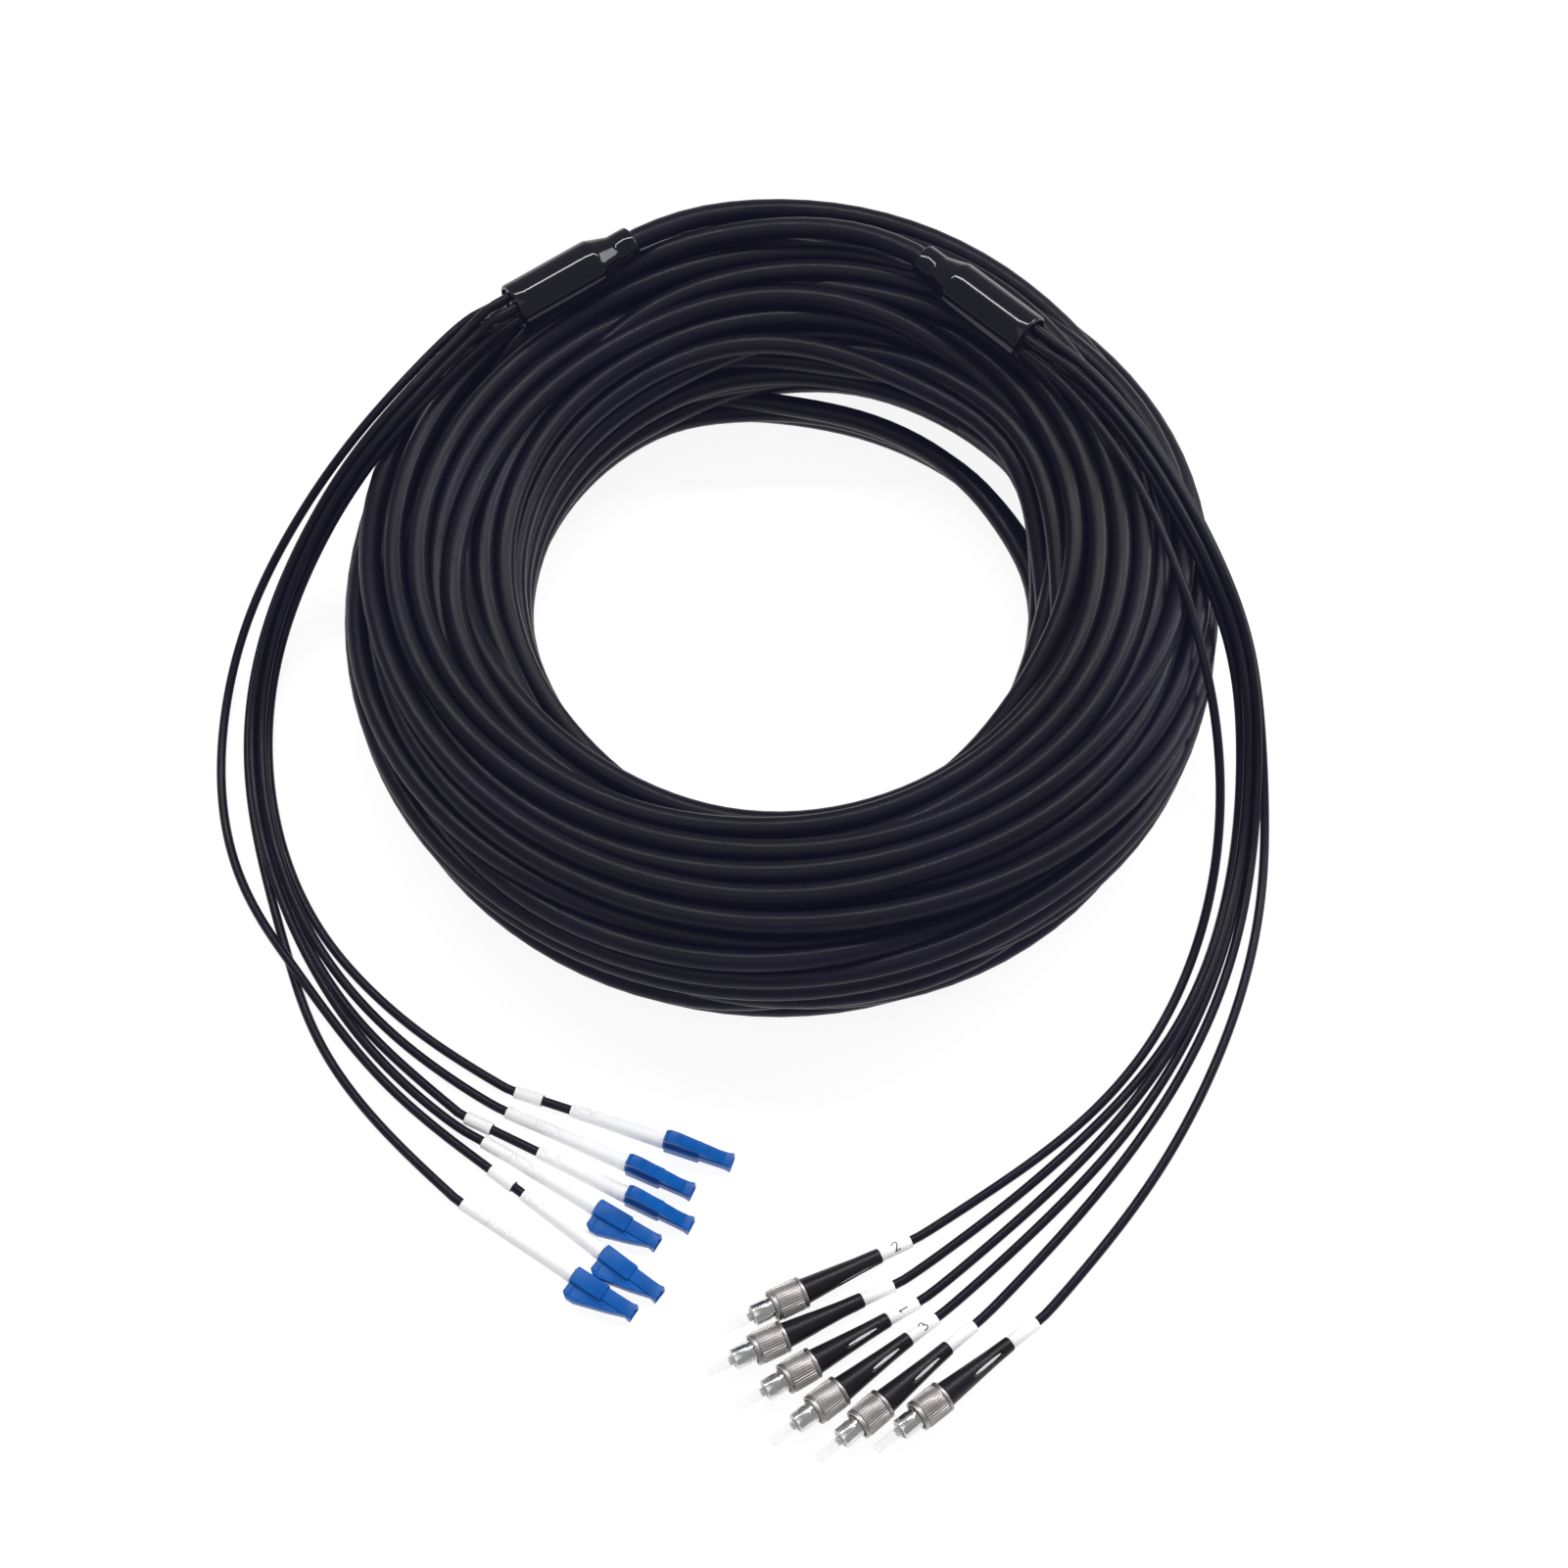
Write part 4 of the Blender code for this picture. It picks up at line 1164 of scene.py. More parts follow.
@dataclass
class BreakoutBoot:
    """A glossy breakout boot: neck, cone and body, with a bored neck and a set-in end face.

    Attributes:
        side: which end of the trunk.
        diameter: body diameter, in mm.
        body: body length, in mm.
        taper: cone length, in mm.
        neck: neck length, in mm.
        neck_diameter: neck diameter, in mm.
        ring_radius: radius of the ring of holes for the tails, in mm.
    """

    side: Side
    diameter: float = 16.4
    body: float = 31.0
    taper: float = 7.5
    neck: float = 7.5
    neck_diameter: float = 11.0
    ring_radius: float = 4.6

    @property
    def length(self) -> float:
        """Whole length, in mm."""
        return self.body + self.taper + self.neck

    def matrix(self) -> Matrix:
        """Its frame.

        Returns:
            The matrix, with the middle of the big end and +X from the neck.
        """
        (x, y), heading = BOOT_PLACES[self.side]
        spot = to_frame([(x, y, 0)])[0]
        spot[2] = COIL_HEIGHT + GAP + self.diameter / 2 * MM
        return Matrix.Translation(spot.tolist()) @ Matrix.Rotation(math.radians(heading), 4, "Z")

    def profile(self) -> Profile:
        """Its outline.

        Returns:
            (x, r) in mm, from the neck's bore to the set-in end face.
        """
        back, big, neck = -self.length, self.diameter / 2, self.neck_diameter / 2
        shoulder, cone = -(self.body + self.taper), -self.body
        return [
            (back + 2.4, 3.62), (back + 0.2, 3.62), (back, 3.85), (back, neck - 0.8),
            (back + 0.1, neck - 0.45), (back + 0.35, neck - 0.15), (back + 0.8, neck),
            (shoulder - 0.9, neck), (shoulder, neck + 0.1), (shoulder + 1.0, neck + 0.45),
            (cone - 1.2, big - 0.45), (cone - 0.4, big - 0.12), (cone + 0.6, big),
            (-0.9, big), (-0.4, big - 0.12), (-0.1, big - 0.4), (0.0, big - 0.8),
            (-0.05, big - 1.1), (-0.9, big - 1.25), (-1.0, big - 1.45),
        ]

    def build(self, finishes: Finishes) -> bpy.types.Object:
        """Makes the boot.

        Args:
            finishes: the materials.

        Returns:
            The piece.
        """
        skin = revolved(fine_rows(self.profile(), 3.0), 48).placed(self.matrix())
        return make_piece(f"boot_shell_{self.side.value}", skin, finishes.breakout,
                          (f"breakout_boot_{self.side.value}",), crease=50.0)


def neck_mouth(side: Side) -> np.ndarray:
    """The point just outside a breakout boot's neck where the trunk starts.

    Args:
        side: which boot.

    Returns:
        The point, in metres.
    """
    boot = BreakoutBoot(side)
    return np.array(boot.matrix().translation) - direction(BOOT_PLACES[side][1]) * (
        boot.length * MM + GAP)


def lead_route(side: Side) -> np.ndarray:
    """The trunk's smooth route from a boot's neck onto the coil.

    Args:
        side: which end of the trunk.

    Returns:
        The route's points, (n, 3), in metres.
    """
    leave = -direction(BOOT_PLACES[side][1])
    start = neck_mouth(side)
    points = np.vstack([start + leave * 6.0 * MM, to_frame(LEADS[side])])
    route = smooth_route(points, leave, unit(points[-1] - points[-2]))
    return np.vstack([start, route])


@dataclass
class PlugPlace:
    """A plug's frame on the floor, tilted so that its label and its body both touch the floor.

    Attributes:
        place: the given point, in hundredths of the coil's outer radius.
        heading: its heading, in degrees.
        behind: length from the label's rear to the given point, in mm.
        height_behind: height of the axis at the label's rear, in mm.
        height_at: height of the axis at the given point, in mm.
    """

    place: tuple[float, float]
    heading: float
    behind: float
    height_behind: float
    height_at: float

    @property
    def tilt(self) -> float:
        """Angle of the axis above the floor, in radians."""
        return math.asin((self.height_at - self.height_behind) / self.behind)

    @property
    def axis(self) -> np.ndarray:
        """Unit direction of the plug."""
        return direction(self.heading, self.tilt)

    @property
    def start(self) -> np.ndarray:
        """The label's rear.

        Returns:
            The point on the axis, in metres.
        """
        spot = to_frame([(self.place[0], self.place[1], 0)])[0]
        spot[2] = self.height_at * MM
        return spot - self.axis * self.behind * MM

    def matrix(self, forward: float = 0.0, roll: float = 0.0) -> Matrix:
        """The plug's frame, moved and rolled.

        Args:
            forward: how far it is moved along the plug, in mm.
            roll: how far it is rolled about +X, in degrees.

        Returns:
            The matrix.
        """
        turn = (Matrix.Rotation(math.radians(self.heading), 4, "Z")
                @ Matrix.Rotation(-self.tilt, 4, "Y") @ Matrix.Rotation(math.radians(roll), 4, "X"))
        spot = self.start + self.axis * forward * MM
        return Matrix.Translation(spot.tolist()) @ turn


@dataclass
class Tail:
    """One tail: out of its hole in the boot, along its bundle and fan, into its plug.

    Attributes:
        side: which end of the trunk.
        number: its number.
        plug: the frame of its plug.
        straight: straight length through the label, in mm.
        diameter: in mm.
        lane: width of a lane beside the bundle's middle line, in mm.
        level: height of a level in the bundle, in mm.
        rings: rings along its route.
        sides: points around it.
    """

    side: Side
    number: str
    plug: PlugPlace
    straight: float
    diameter: float = 3.0
    lane: float = 3.4
    level: float = 3.0
    rings: int = 104
    sides: int = 10

    def bundle_points(self) -> np.ndarray:
        """The stations of the bundle moved by the tail's lane and lift.

        P = M + lane w S + lift h U, with S level and outward, and U square to the bundle and S.

        Returns:
            The points, (n, 3), in metres.
        """
        middle = to_frame(STATIONS[self.side])
        lanes = np.array(LANES[self.side][self.number], float)[:, None]
        lifts = np.array(LIFTS[self.side].get(self.number, (0,) * len(middle)), float)[:, None]
        spots = np.arange(len(middle))
        along = middle[np.minimum(spots + 1, len(middle) - 1)] - middle[np.maximum(spots - 1, 0)]
        side = unit(np.stack([-along[:, 1], along[:, 0], np.zeros(len(along))], axis=1))
        side *= self.side.outward
        above = unit(np.cross(along, side)) * self.side.outward
        return middle + side * lanes * self.lane * MM + above * lifts * self.level * MM

    @property
    def mouth(self) -> np.ndarray:
        """The middle of its hole in the boot's end face.

        Returns:
            The point, in metres.
        """
        boot = BreakoutBoot(self.side)
        hole = math.radians(HOLES[self.side][self.number])
        ring = boot.ring_radius * MM
        matrix = np.array(boot.matrix())
        offset = (GAP, self.side.outward * ring * math.cos(hole), ring * math.sin(hole))
        return matrix[:3, :3] @ np.array(offset) + matrix[:3, 3]

    def route(self) -> np.ndarray:
        """Its planned route between the boot and the label.

        Returns:
            Points at even steps, (rings, 3), in metres.
        """
        heading = direction(BOOT_PLACES[self.side][1])
        lone = self.number not in LANES[self.side]
        points = np.vstack([
            self.mouth + heading * 5.0 * MM,
            to_frame(LONE_ROUTE) if lone else self.bundle_points(),
            to_frame(FANS[f"{self.side.value}_{self.number}"]),
            self.plug.start,
        ])
        return even_points(smooth_route(points, heading, self.plug.axis), self.rings)

    def path(self, route: np.ndarray) -> np.ndarray:
        """Its centre line: the settled route, with its ends in the boot and through the label.

        Args:
            route: the settled route.

        Returns:
            The line's points, (n, 3), in metres.
        """
        inside = self.mouth - direction(BOOT_PLACES[self.side][1]) * 1.4 * MM
        end = self.plug.start + self.plug.axis * (self.straight * MM + 0.8 * MM)
        middle = self.plug.start + self.plug.axis * self.straight * 0.5 * MM
        return np.vstack([inside, self.mouth, route, middle, end])

    def build(self, finishes: Finishes, route: np.ndarray, carried: list) -> bpy.types.Object:
        """Args:
            finishes: the materials.
            route: its settled route.
            carried: the pieces of its plug; not used.

        Returns:
            The piece.
        """
        path = self.path(route)
        name = f"{self.side.value}_{self.number}"
        piece = make_piece(f"cord_{name}", tube(path, self.diameter / 2 * MM, self.sides),
                           finishes.tail, (f"tail_{name}",), crease=80.0)
        return piece


@dataclass
class Drape:
    """Settles the tails: smooth, clear of the trunk and of each other, and above the floor.

    In each round every free point moves towards the middle of its neighbours, and then away from
    trunk and tail points that are too near.

    Attributes:
        tails: the tails.
        trunk: centre line of the trunk.
        rounds: how often the points move.
        off_trunk: least distance between the centre lines of a tail and the trunk, in mm.
        off_tail: least distance between two tails' centre lines, in mm.
        beside: longest distance along a tail at which two points count as side by side, in mm.
    """

    tails: list[Tail]
    trunk: np.ndarray
    rounds: int = 60
    off_trunk: float = 5.1
    off_tail: float = 3.05
    beside: float = 2.6

    def near_trunk(self, routes: np.ndarray) -> np.ndarray:
        """Points of the trunk, at steps of about 3 mm, that a tail could touch.

        Args:
            routes: the tails' points, (tails, rings, 3), in mm.

        Returns:
            The points, (n, 3), in mm.
        """
        dense = even_points(self.trunk / MM, int(reach_along(self.trunk)[-1] / (3 * MM)))
        coarse = routes[:, ::3].reshape(-1, 3)
        gaps = ((dense[:, None] - coarse[None]) ** 2).sum(-1).min(1)
        return dense[gaps < 11.0 ** 2].astype(np.float32)

    def push_off_trunk(self, routes: np.ndarray, trunk: np.ndarray) -> np.ndarray:
        """How far each tail point moves away from the trunk's nearest point.

        Args:
            routes: the tails' points, (tails, rings, 3), in mm.
            trunk: the trunk's points, (n, 3), in mm.

        Returns:
            The moves, (tails, rings, 3), in mm.
        """
        apart = routes.reshape(-1, 1, 3) - trunk[None]
        distance = np.sqrt((apart ** 2).sum(-1))
        nearest = distance.argmin(axis=1)
        spots = np.arange(len(nearest))
        gap = distance[spots, nearest]
        push = np.clip(self.off_trunk - gap, 0, None) / np.maximum(gap, 0.2)
        return (push[:, None] * apart[spots, nearest]).reshape(routes.shape)

    def push_off_tails(self, routes: np.ndarray) -> np.ndarray:
        """How far each tail point moves away from points beside it on other tails.

        The distance is the part of P - Q that is square to the tail at P.

        Args:
            routes: the tails' points, (tails, rings, 3), in mm.

        Returns:
            The moves, (tails, rings, 3), in mm.
        """
        count, rings = routes.shape[:2]
        along = unit(np.gradient(routes, axis=1)).reshape(-1, 1, 3)
        points = routes.reshape(-1, 3)
        apart = points[:, None] - points[None]
        lengthwise = (apart * along).sum(-1, keepdims=True)
        across = apart - lengthwise * along
        distance = np.sqrt((across ** 2).sum(-1))
        tail = np.repeat(np.arange(count), rings)
        beside = (np.abs(lengthwise[..., 0]) < self.beside) & (tail[:, None] != tail[None])
        push = np.where(beside, np.clip(self.off_tail - distance, 0, None), 0)
        share = np.maximum(1, (push > 0).sum(1))[:, None]
        moved = ((push / np.maximum(distance, 0.3))[..., None] * across).sum(1) / share
        return 0.5 * moved.reshape(routes.shape)

    def settled(self) -> dict[str, np.ndarray]:
        """Settles all tails together.

        Returns:
            The settled route of each tail, (rings, 3), in metres, by its name.
        """
        routes = np.stack([tail.route() for tail in self.tails]).astype(np.float32) / MM
        rings = routes.shape[1]
        spots = np.arange(rings)
        free = smooth_step(spots, 1, 12) * (1 - smooth_step(spots, rings - 9, rings - 2))
        free = free[None, :, None].astype(np.float32)
        trunk = self.near_trunk(routes)
        for _ in range(self.rounds):
            mean = routes.copy()
            mean[:, 1:-1] = 0.5 * (routes[:, :-2] + routes[:, 2:])
            routes = routes + 0.5 * free * (mean - routes)
            routes = routes + free * self.push_off_tails(routes)
            routes = routes + free * self.push_off_trunk(routes, trunk)
            routes[..., 2] = np.maximum(routes[..., 2], self.tails[0].diameter / 2)
        LOG.info("tails settled round %d trunk points", len(trunk))
        return {f"{tail.side.value}_{tail.number}": route * MM
                for tail, route in zip(self.tails, routes)}


@dataclass
class Label:
    """A film label wrapped round a tail, with a step where its end overlaps.

    Attributes:
        name: side and number of its tail.
        place: the plug's frame, at the label's rear.
        length: in mm.
        bore: in mm.
        wall: in mm.
        digit: the number printed on it, or nothing.
        digit_turn: how far the number is turned on the film, in degrees.
        digit_middle: angle of the number's middle about the axis, in degrees.
        digit_height: height of the number, in mm.
        seam: where the film's end is, in degrees about the axis.
    """

    name: str
    place: PlugPlace
    length: float = LABEL_LENGTH
    bore: float = 3.6
    wall: float = 0.35
    digit: str = ""
    digit_turn: float = 0.0
    digit_middle: float = 90.0
    digit_height: float = 2.9
    seam: float = 150.0

    def film(self) -> Skin:
        """The wrapped film.

        The outer radius falls by a tenth of a millimetre once around from the seam.

        Returns:
            The closed skin.
        """
        inner, outer = self.bore / 2, self.bore / 2 + self.wall
        profile = [(0.0, inner), (0.0, outer - 0.05), (0.08, outer), (self.length - 0.08, outer),
                   (self.length, outer - 0.05), (self.length, inner)]

        def overlap(x: np.ndarray, angle: np.ndarray) -> np.ndarray:
            """The film's depth under its seam, which grows once around; nothing in the bore.

            Args:
                x: places along the piece, in mm.
                angle: angles about it, in radians.

            Returns:
                The depth at each of them, in mm.
            """
            share = ((angle - math.radians(self.seam)) / (2 * np.pi)) % 1.0
            outside = np.array([row[1] > inner for row in profile])[:, None]
            return 0.1 * share * outside + 0 * x

        return revolved(profile, 48, Ends.LOOPED, overlap)

    def number_skin(self) -> Skin:
        """The printed number, as a raised stroke on the film.

        The stroke is a ribbon in the plane, turned, and then wrapped: the distance across the
        label becomes an angle about its axis.

        Returns:
            The closed skin.
        """
        half_width, radius = 0.17, self.bore / 2 + self.wall
        line = even_points(np.array(DIGIT_STROKES[self.digit]) * self.digit_height, 40)
        along = unit(np.gradient(line, axis=0))
        across = np.stack([-along[:, 1], along[:, 0]], axis=1)
        section = np.array([(-1, -0.12), (1, -0.12), (1, 0.03), (-1, 0.03)])
        flat = line[:, None] + across[:, None] * section[None, :, :1] * half_width
        turn = math.radians(self.digit_turn)
        p = flat[..., 1] * math.sin(turn) - flat[..., 0] * math.cos(turn)
        q = flat[..., 0] * math.sin(turn) + flat[..., 1] * math.cos(turn)
        angle = math.radians(self.digit_middle) + q / radius
        reach = radius + section[None, :, 1]
        rings = np.stack([self.length / 2 + p, reach * np.cos(angle), reach * np.sin(angle)], -1)
        return lofted(rings * MM, reach_along(line) * MM)

    def build(self, finishes: Finishes) -> list:
        """Makes the label and its number.

        Args:
            finishes: the materials.

        Returns:
            The pieces.
        """
        pieces = [make_piece(f"film_{self.name}", self.film().placed(self.place.matrix()),
                             finishes.label, (f"label_{self.name}",))]
        if self.digit:
            skin = self.number_skin().placed(self.place.matrix())
            pieces.append(make_piece(f"print_{self.name}", skin, finishes.ink))
        return pieces


def rounded_square(half_y: float, half_z: float, corner: float, steps: int = 5) -> np.ndarray:
    """The outline of a rectangle with round corners, about +X from +Y.

    Args:
        half_y: half its width.
        half_z: half its height.
        corner: radius of its corners.
        steps: steps in each corner.

    Returns:
        The points (y, z), (4 * (steps + 1), 2).
    """
    arc = np.linspace(0, np.pi / 2, steps + 1)
    centres = [(half_y - corner, half_z - corner, 0), (corner - half_y, half_z - corner, 1),
               (corner - half_y, corner - half_z, 2), (half_y - corner, corner - half_z, 3)]
    return np.vstack([np.stack([y + corner * np.cos(arc + quarter * np.pi / 2),
                                z + corner * np.sin(arc + quarter * np.pi / 2)], axis=1)
                      for y, z, quarter in centres])


def ring_at(x: float, line: np.ndarray) -> np.ndarray:
    """An outline (y, z) as a ring of points at x."""
    return np.column_stack([np.full(len(line), x), line])


def side_rings(rows: list) -> np.ndarray:
    """Outlines (x, z) seen from the side, each as a ring of points at its y."""
    return np.array([np.column_stack([flat[:, 0], np.full(len(flat), y), flat[:, 1]])
                     for flat, y in rows])


def turn_from(angle: np.ndarray, facing: float) -> np.ndarray:
    """Angles (radians) counted from a facing (degrees), between -pi and pi."""
    return (angle - math.radians(facing) + np.pi) % (2 * np.pi) - np.pi


@dataclass
class LatchedPlug:
    """A latched plug of a left tail: label, white boot, blue housing with latch, ferrule.

    Attributes:
        number: its number.
        boot_length: length of the white boot, in mm, as all the rest.
        boot_tip: the boot's diameter at the tail.
        boot_base: its diameter at the housing.
        half_body: half the housing's width and height.
        body: length of the housing behind its nose.
        nose: length of the nose.
        half_nose: half the nose's width and height.
        bore: radius of the nose's bore.
        bore_depth: depth of the bore.
        ferrule: radius of the ferrule.
        latch_width: width of the latch.
        latch_height: height of the latch above the housing.
        latch_thickness: thickness of the latch's strip.
        web_width: width of the web in the latch's window.
    """

    number: str
    boot_length: float = 31.0
    boot_tip: float = 4.2
    boot_base: float = 5.3
    half_body: float = 2.8
    body: float = 11.5
    nose: float = 10.3
    half_nose: float = 2.25
    bore: float = 1.55
    bore_depth: float = 5.0
    ferrule: float = 0.63
    latch_width: float = 3.8
    latch_height: float = 4.4
    latch_thickness: float = 1.1
    web_width: float = 3.6

    @property
    def name(self) -> str:
        """Side and number."""
        return f"left_{self.number}"

    @property
    def tip(self) -> float:
        """Length from the label's rear to the boot's tip."""
        return LABEL_LENGTH + LATCHED_PLUGS[self.number][2]

    @property
    def rear(self) -> float:
        """Length from the label's rear to the housing's rear."""
        return self.tip + self.boot_length + GAP_MM

    def place(self) -> PlugPlace:
        """Its frame."""
        spot, heading, _, _ = LATCHED_PLUGS[self.number]
        return PlugPlace(spot, heading, self.rear, LABEL_OUTER_D / 2, self.half_body)

    def boot_skin(self) -> Skin:
        """The white boot, with two slanted slits near its tip and a collar at its base.

        Returns:
            The closed skin.
        """
        tip, base, length = self.boot_tip / 2, self.boot_base / 2, self.boot_length
        profile = [(1.2, BOOT_BORE_R), (0.1, BOOT_BORE_R), (0.0, BOOT_BORE_R + 0.13),
                   (0.0, tip - 0.2), (0.06, tip - 0.06),
                   (0.2, tip), (length * 0.35, tip * 0.7 + base * 0.3),
                   (length * 0.8, tip * 0.15 + base * 0.85 - 0.04), (length - 2.9, base - 0.12),
                   (length - 2.7, base), (length - 0.2, base), (length, base - 0.2)]
        rows = fine_rows(profile[5:7], 0.22) + fine_rows(profile[6:], 1.5)[1:]

        def slits(x: np.ndarray, angle: np.ndarray) -> np.ndarray:
            """Two slanted slits, deepest along their middles.

            Args:
                x: places along the piece, in mm.
                angle: angles about it, in radians.

            Returns:
                The depth at each of them, in mm.
            """
            depth = np.zeros(np.broadcast(x, angle).shape)
            turn = turn_from(angle, 75.0)
            for start in (1.9, 6.9):
                offset = np.abs(x - start - 0.45 * turn * tip)
                wide = 1 - smooth_step(offset, 0.16, 0.4)
                depth = np.maximum(depth, 0.75 * (wide * (1 - smooth_step(np.abs(turn), 0.5, 0.8))))
            return depth

        return revolved(profile[:5] + rows, 40, relief=slits)

    def shell_skin(self) -> Skin:
        """The housing's body and nose.

        Rings of a square with round corners, whose front ring is cut back between its corners,
        then a round bore, and its bottom.

        Returns:
            The closed skin.
        """
        front = self.body + self.nose
        big, slim, bore = self.half_body, self.half_nose, self.bore
        outer = [(0.0, big - 0.3, 0.5), (0.12, big - 0.08, 0.6), (0.35, big, 0.65),
                 (self.body - 0.35, big, 0.65), (self.body - 0.1, big - 0.1, 0.6),
                 (self.body, big - 0.28, 0.55), (self.body, slim + 0.12, 0.5),
                 (self.body + 0.15, slim, 0.45), (front - 3.2, slim, 0.45),
                 (front - 1.6, slim + 0.02, 0.45), (front - 0.25, slim + 0.24, 0.25),
                 (front, slim + 0.24, 0.2)]
        rings = [ring_at(x, rounded_square(half, half, corner)) for x, half, corner in outer]
        line = rings[-1][:, 1:]
        angle = np.arctan2(line[:, 1], line[:, 0])
        circle = np.column_stack([np.cos(angle), np.sin(angle)])
        inner = [(front, slim - 0.1, 0.0), (front - 0.9, bore + 0.15, 1.0),
                 (front - 1.4, bore, 1.0), (front - self.bore_depth, bore, 1.0),
                 (front - self.bore_depth, 0.3, 1.0)]
        for x, size, roundness in inner:
            square = rounded_square(size, size, min(size, 0.3))
            rings.append(ring_at(x, square * (1 - roundness) + circle * size * roundness))
        shell = np.array(rings)
        share = np.minimum(np.abs(line[:, 0]), np.abs(line[:, 1])) / slim
        notch = 2.2 * (1 - smooth_step(share, 0.35, 1.0))
        for row, weight in ((len(outer) - 3, 0.35), (len(outer) - 2, 0.95), (len(outer) - 1, 1.0),
                            (len(outer), 1.0), (len(outer) + 1, 0.6), (len(outer) + 2, 0.4)):
            shell[row, :, 0] -= notch * weight
        reach = reach_along(np.array([[x, half] for x, half, _ in outer + inner]))
        return lofted(shell * MM, reach * MM)

    def latch_skin(self) -> Skin:
        """The latch: a slab between an outer outline and its window, with eased edges.

        Rings run from the outer outline on one side, across it, and back along the window. Each
        outline is a chain of straight runs with matching counts.

        Returns:
            The closed skin.
        """
        half, nose = self.half_body, self.half_nose
        top = half + self.latch_height
        under, clear = top - self.latch_thickness, half + 0.5
        toe = self.body + self.nose - 2.4
        bend = toe - 5.2
        counts = (6, 5, 4, 10, 6, 2, 12)
        outer = [(0.4, half - 0.2), (0.4, top - 1.5), (1.9, top), (4.2, top), (bend, clear + 0.9),
                 (toe, nose + 0.1), (toe, nose - 0.2)]
        window = [(2.6, clear), (2.6, under - 0.5), (3.1, under), (4.2, under),
                  (bend - 1.7, clear + 0.1), (bend - 1.55, clear + 0.03), (bend - 1.5, clear)]

        def chain(points: list, bulge: tuple[float, float]) -> np.ndarray:
            """Points joined by straight runs, the second one bowed by a sine.

            Args:
                points: (x, z) in mm.
                bulge: height of the bow, in mm.

            Returns:
                The outline, (n, 2), in mm.
            """
            runs = []
            for index, count in enumerate(counts):
                first = np.array(points[index])
                second = np.array(points[(index + 1) % len(points)])
                share = (np.arange(count) / count)[:, None]
                run = first + (second - first) * share
                if index == 1:
                    run = run + np.array(bulge) * np.sin(np.pi * share)
                runs.append(run)
            return np.vstack(runs)

        line = chain(outer, (-0.3, 0.3))
        hole = chain(window, (-0.1, 0.1))
        width = self.latch_width / 2
        eased = 0.09
        rim, brim = line + (hole - line) * eased * 0.35, line + (hole - line) * eased
        inner = hole + (line - hole) * eased
        rows = [(line, -width + 0.2), (rim, -width + 0.06), (brim, -width), (inner, -width),
                (hole, -width + 0.15), (hole, width - 0.15), (inner, width), (brim, width),
                (rim, width - 0.06), (line, width - 0.2)]
        return lofted(side_rings(rows) * MM, np.arange(len(rows)) * 0.5 * MM, Ends.LOOPED)

    def web_skin(self) -> Skin:
        """The web that fills the latch's window from its rear, as a slab with eased edges.

        Returns:
            The closed skin.
        """
        half, width = self.half_body, self.web_width / 2
        under = half + self.latch_height - self.latch_thickness
        line = np.array([(0.2, half - 0.4), (0.1, under + 0.1), (3.6, under + 0.5), (11.6, 4.2),
                         (15.2, half + 0.1), (15.2, half - 0.4)])
        middle = line.mean(axis=0)
        rows = [(middle + (line - middle) * share, y)
                for share, y in ((0.97, -width), (1.0, -width + 0.08), (1.0, width - 0.08),
                                 (0.97, width))]
        return lofted(side_rings(rows) * MM, np.arange(len(rows)) * 0.5 * MM)

    def build(self, finishes: Finishes) -> list:
        """Makes the plug's pieces.

        Args:
            finishes: the materials.

        Returns:
            The pieces, on the same body as its tail.
        """
        place = self.place()
        bare, roll = LATCHED_PLUGS[self.number][2:]
        length = self.tip - 0.05 if bare < 2 else LABEL_LENGTH
        pieces = Label(self.name, place, length=length,
                       seam=40.0 + 50.0 * int(self.number)).build(finishes)
        pieces.append(make_piece(f"white_boot_{self.number}",
                                 self.boot_skin().placed(place.matrix(self.tip)),
                                 finishes.white_boot,
                                 (f"latch_boot_{self.number}",)))
        matrix = place.matrix(self.rear, roll)
        skin = Skin.joined([self.shell_skin(), self.latch_skin(), self.web_skin()]).placed(matrix)
        pieces.append(make_piece(f"blue_shell_{self.number}", skin, finishes.blue,
                                 (f"latch_housing_{self.number}",), crease=30.0))
        front = self.body + self.nose
        pin = revolved([(front - self.bore_depth - 0.3, self.ferrule), (front - 0.65, self.ferrule),
                        (front - 0.5, self.ferrule - 0.14)], 24)
        pieces.append(make_piece(f"slim_ferrule_{self.number}", pin.placed(matrix),
                                 finishes.ceramic))
        return pieces

    def tail(self) -> Tail:
        """Its tail."""
        return Tail(Side.LEFT, self.number, self.place(), self.tip)


